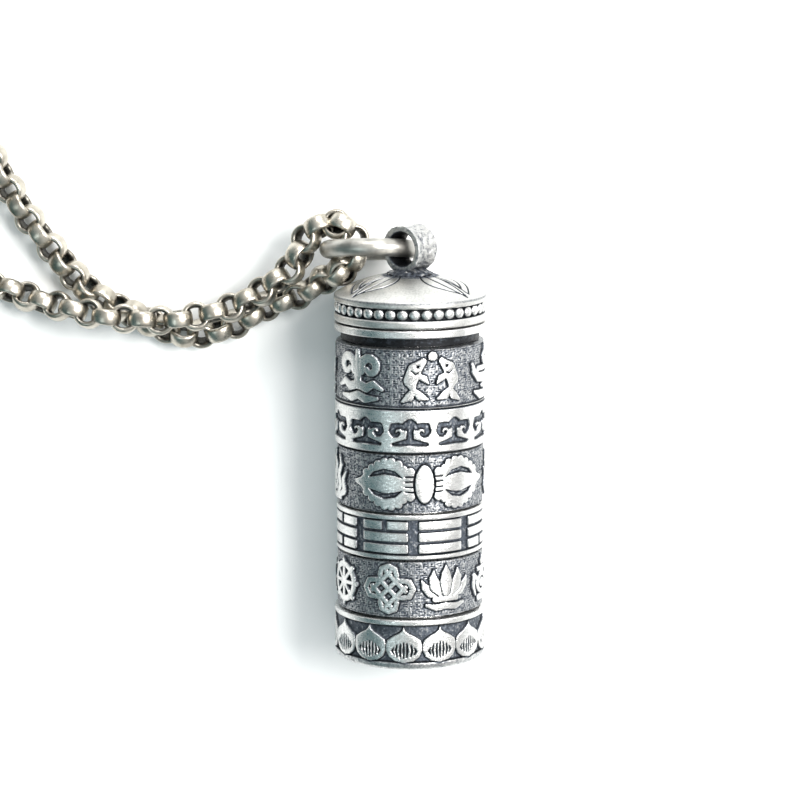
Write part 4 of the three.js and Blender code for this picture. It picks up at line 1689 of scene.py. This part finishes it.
@dataclass
class Bail:
    """The hammered loop, flared at both mouths, and the jump ring through it."""

    throat: float = 0.92  # the bore's radius at its middle
    mouth: float = 1.17  # and at its ends
    waist: float = 1.42  # the outside's radius at its middle
    outer: float = 1.56  # and at its ends
    width: float = 1.95
    wire: float = 0.6  # of the jump ring
    circle: float = 2.8
    lean: float = 80.0

    def build(self, finishes: Finishes) -> None:
        """Makes the loop, its foot and the jump ring."""
        joint = next(joint for joint in frame["joints"] if joint["name"] == "bail_swing")
        self._loop(finishes, Vector(joint["pos_m"]) / MM, Vector(joint["axis"]))
        self._jump_ring(finishes)

    def _loop(self, finishes: Finishes, centre: Vector, axis: Vector) -> None:
        """The wide loop, hammered by a soft uneven noise.

        Args:
            finishes: the finishes.
            centre: its middle, in millimetres.
            axis: the line through its hole.
        """
        half = self.width / 2
        section = []
        for step in range(13):
            along = -1 + step / 6
            section.append((self.waist + (self.outer - self.waist) * along ** 2, along * half))
        for step in range(13):
            along = 1 - step / 6
            inside = self.throat + (self.mouth - self.throat) * along ** 2
            section.append((inside, along * half * 0.97))
        loop = turned_piece(rounded(section, 0.1, 2), 144)
        points = all_coordinates(loop) / MM
        reach = np.hypot(points[:, 0], points[:, 2])
        turn = Vector((0, 1, 0)).rotation_difference(axis.normalized()).to_matrix()
        points = points @ np.array(turn).T
        outward = points / np.linalg.norm(points, axis=1)[:, None]
        points += np.array(centre)
        dent = np.array([
            noise.noise(Vector(p) * 3.1) * 0.05 + noise.noise(Vector(p) * 8.0) * 0.045
            for p in points
        ])
        on_outside = np.clip((reach - self.mouth + 0.02) / 0.05, 0, 1)
        points += outward * (dent * on_outside)[:, None]
        floor = high("cap_shell").y - 0.02
        points[:, 1] = np.maximum(points[:, 1], floor)
        set_coordinates(loop, points * MM)
        # Dark where the hammer dents sink in; the whole bore is painted shade, set black; darker
        # towards the foot on the dome.
        dark = np.clip(0.12 - dent * 7, 0, 0.7) * on_outside + (1 - on_outside)
        foot = np.clip(1 - (points[:, 1] - floor) / 0.55, 0, 1)
        set_patina_and_shade(loop, np.maximum(dark, 0.85 * foot))
        finish_piece(loop, "bail_loop_hammered", "cap", finishes.hammered,
                     ("bail_loop",), 60)
        self._foot(finishes, floor)

    def _foot(self, finishes: Finishes, floor: float) -> None:
        """The soldered foot that spreads from the loop on to the dome."""
        section = [(0.02, floor - 0.08), (1.5, floor - 0.12), (1.56, floor - 0.04),
                   (1.2, floor + 0.12), (0.85, floor + 0.3), (0.02, floor + 0.45)]
        foot = turned_piece(rounded(section, 0.08), 96)
        points = all_coordinates(foot) / MM
        points[:, 1] += np.array([noise.noise(Vector(p) * 4.0) for p in points]) * 0.08
        set_coordinates(foot, points * MM)
        set_patina_and_shade(foot, np.array([0.55 + 0.9 * noise.noise(Vector(p) * 5.0) for p in points]))
        finish_piece(foot, "bail_foot_solder", "cap", finishes.hammered, (), 60)

    def _jump_ring(self, finishes: Finishes) -> None:
        """The round-wire jump ring with its closed joint."""
        ring = ring_piece(self.circle, self.wire, 160, 32)
        points = all_coordinates(ring) / MM
        angle = np.arctan2(points[:, 1], points[:, 0])
        reach = np.hypot(points[:, 0], points[:, 1])
        seam = 1 - 0.07 * np.exp(-((angle + 0.9) / 0.022) ** 2)
        points[:, :2] *= ((self.circle + (reach - self.circle) * seam) / reach)[:, None]
        points[:, 2] *= seam
        lean = Matrix.Rotation(math.radians(self.lean), 3, "X")
        points = points @ np.array(lean).T + np.array(middle("jump_ring"))
        set_coordinates(ring, points * MM)
        finish_piece(ring, "jump_ring_wire", "necklace", finishes.jump,
                     ("jump_ring",), 60)


@dataclass
class Scroll:
    """The rolled prayer on its spindle, with its tie."""

    turns: int = 9
    ridge: float = 0.06  # how far every other turn stands back at the ends

    def build(self, finishes: Finishes) -> None:
        """Makes the scroll, the spindle and the tie."""
        bottom, top = ends("prayer_scroll")
        inner, outer = 0.68, high("prayer_scroll").x
        count = 2 * self.turns
        radii = [inner + (outer - 0.02 - inner) * index / count for index in range(count + 1)]
        stand_back = [self.ridge * (index % 2) for index in range(count + 1)]
        section = [(radius, top - back) for radius, back in zip(radii, stand_back)]
        section += [(outer, top - 0.1), (outer, bottom + 0.1)]
        section += [(radius, bottom + back) for radius, back in zip(reversed(radii), stand_back)]
        piece = turned_piece(section, 96)
        finish_piece(piece, "prayer_scroll_rolled", "barrel", finishes.paper,
                     ("prayer_scroll",), 30)
        reach = high("scroll_spindle").x
        bottom, top = ends("scroll_spindle")
        section = rounded([(0.01, bottom), (reach, bottom), (reach, top), (0.01, top)], 0.2)
        spindle = turned_piece(section, 48)
        finish_piece(spindle, "scroll_spindle_turned", "barrel", finishes.wood,
                     ("scroll_spindle",), 40)
        self._tie(finishes)

    def _tie(self, finishes: Finishes) -> None:
        """Four turns of red thread round the scroll."""
        bottom, top = ends("scroll_tie")
        radius = (high("scroll_tie").x + high("prayer_scroll").x) / 2
        turns = 4
        thread = (top - bottom) / (2 * turns)
        rings = []
        for index in range(turns):
            section = curl((radius, bottom + thread * (2 * index + 1)), thread, 0, 315, 7)
            rings.append(turned_piece(section, 72))
        finish_piece(join_pieces(rings), "scroll_tie_thread", "barrel",
                     finishes.thread, ("scroll_tie",), 60)


@dataclass
class Clasp:
    """The lobster clasp, its lever and the rings at the chain's ends."""

    body_nodes: tuple = ("clasp_body", "clasp_lever", "clasp_pin")

    def build(self, finishes: Finishes) -> tuple[list, list]:
        """Softens the clasp's pieces and makes its rings and spring.

        Args:
            finishes: the finishes.

        Returns:
            The pieces at the front strand's end, and those at the back strand's end.
        """
        clasp = []
        for node in self.body_nodes:
            body = "lever" if node == "clasp_lever" else "necklace"
            piece = copy_of(node, node + "_cast")
            apply_modifier(piece, "BEVEL", width=0.09 * MM, segments=3, limit_method="ANGLE",
                           angle_limit=math.radians(40))
            clasp.append(finish_piece(piece, node + "_cast", body, finishes.chain,
                                      (node,), 40))
        clasp.append(self._ring("clasp_ring", 0.25, finishes))
        clasp.append(self._spring(finishes))
        return [piece for piece in clasp if "lever" not in piece.name], [
            self._ring("tail_ring", 0.3, finishes)
        ]

    def _spring(self, finishes: Finishes) -> bpy.types.Object:
        """The lever's spring, smooth where the drawing's is faceted."""
        piece = copy_of("clasp_spring", "clasp_spring_wire")
        apply_modifier(piece, "SUBSURF", levels=1)
        return finish_piece(piece, "clasp_spring_wire", "necklace",
                            finishes.polished, ("clasp_spring",), 60)

    def _ring(self, node: str, wire: float, finishes: Finishes) -> bpy.types.Object:
        """One small round ring that stands across the clasp."""
        centre = middle(node)
        circle = high(node).y - centre.y - wire
        ring = ring_piece(circle, wire, 72, 20, rotation=(0, math.pi / 2, 0), location=centre * MM)
        settle(ring)
        return finish_piece(ring, node + "_round", "necklace", finishes.chain,
                            (node,), 60)


def main() -> None:
    """Builds the studio, then the pendant's pieces in order."""
    logging.basicConfig(level=logging.INFO, format="%(name)s: %(message)s")
    finishes = Finishes()
    Studio().build()
    clasp, tail = Clasp().build(finishes)
    Chain().build(finishes, clasp, tail)
    RingStack().build(finishes)
    Barrel().build(finishes)
    Cap().build(finishes)
    Bail().build(finishes)
    Scroll().build(finishes)


if __name__ == "__main__":
    main()
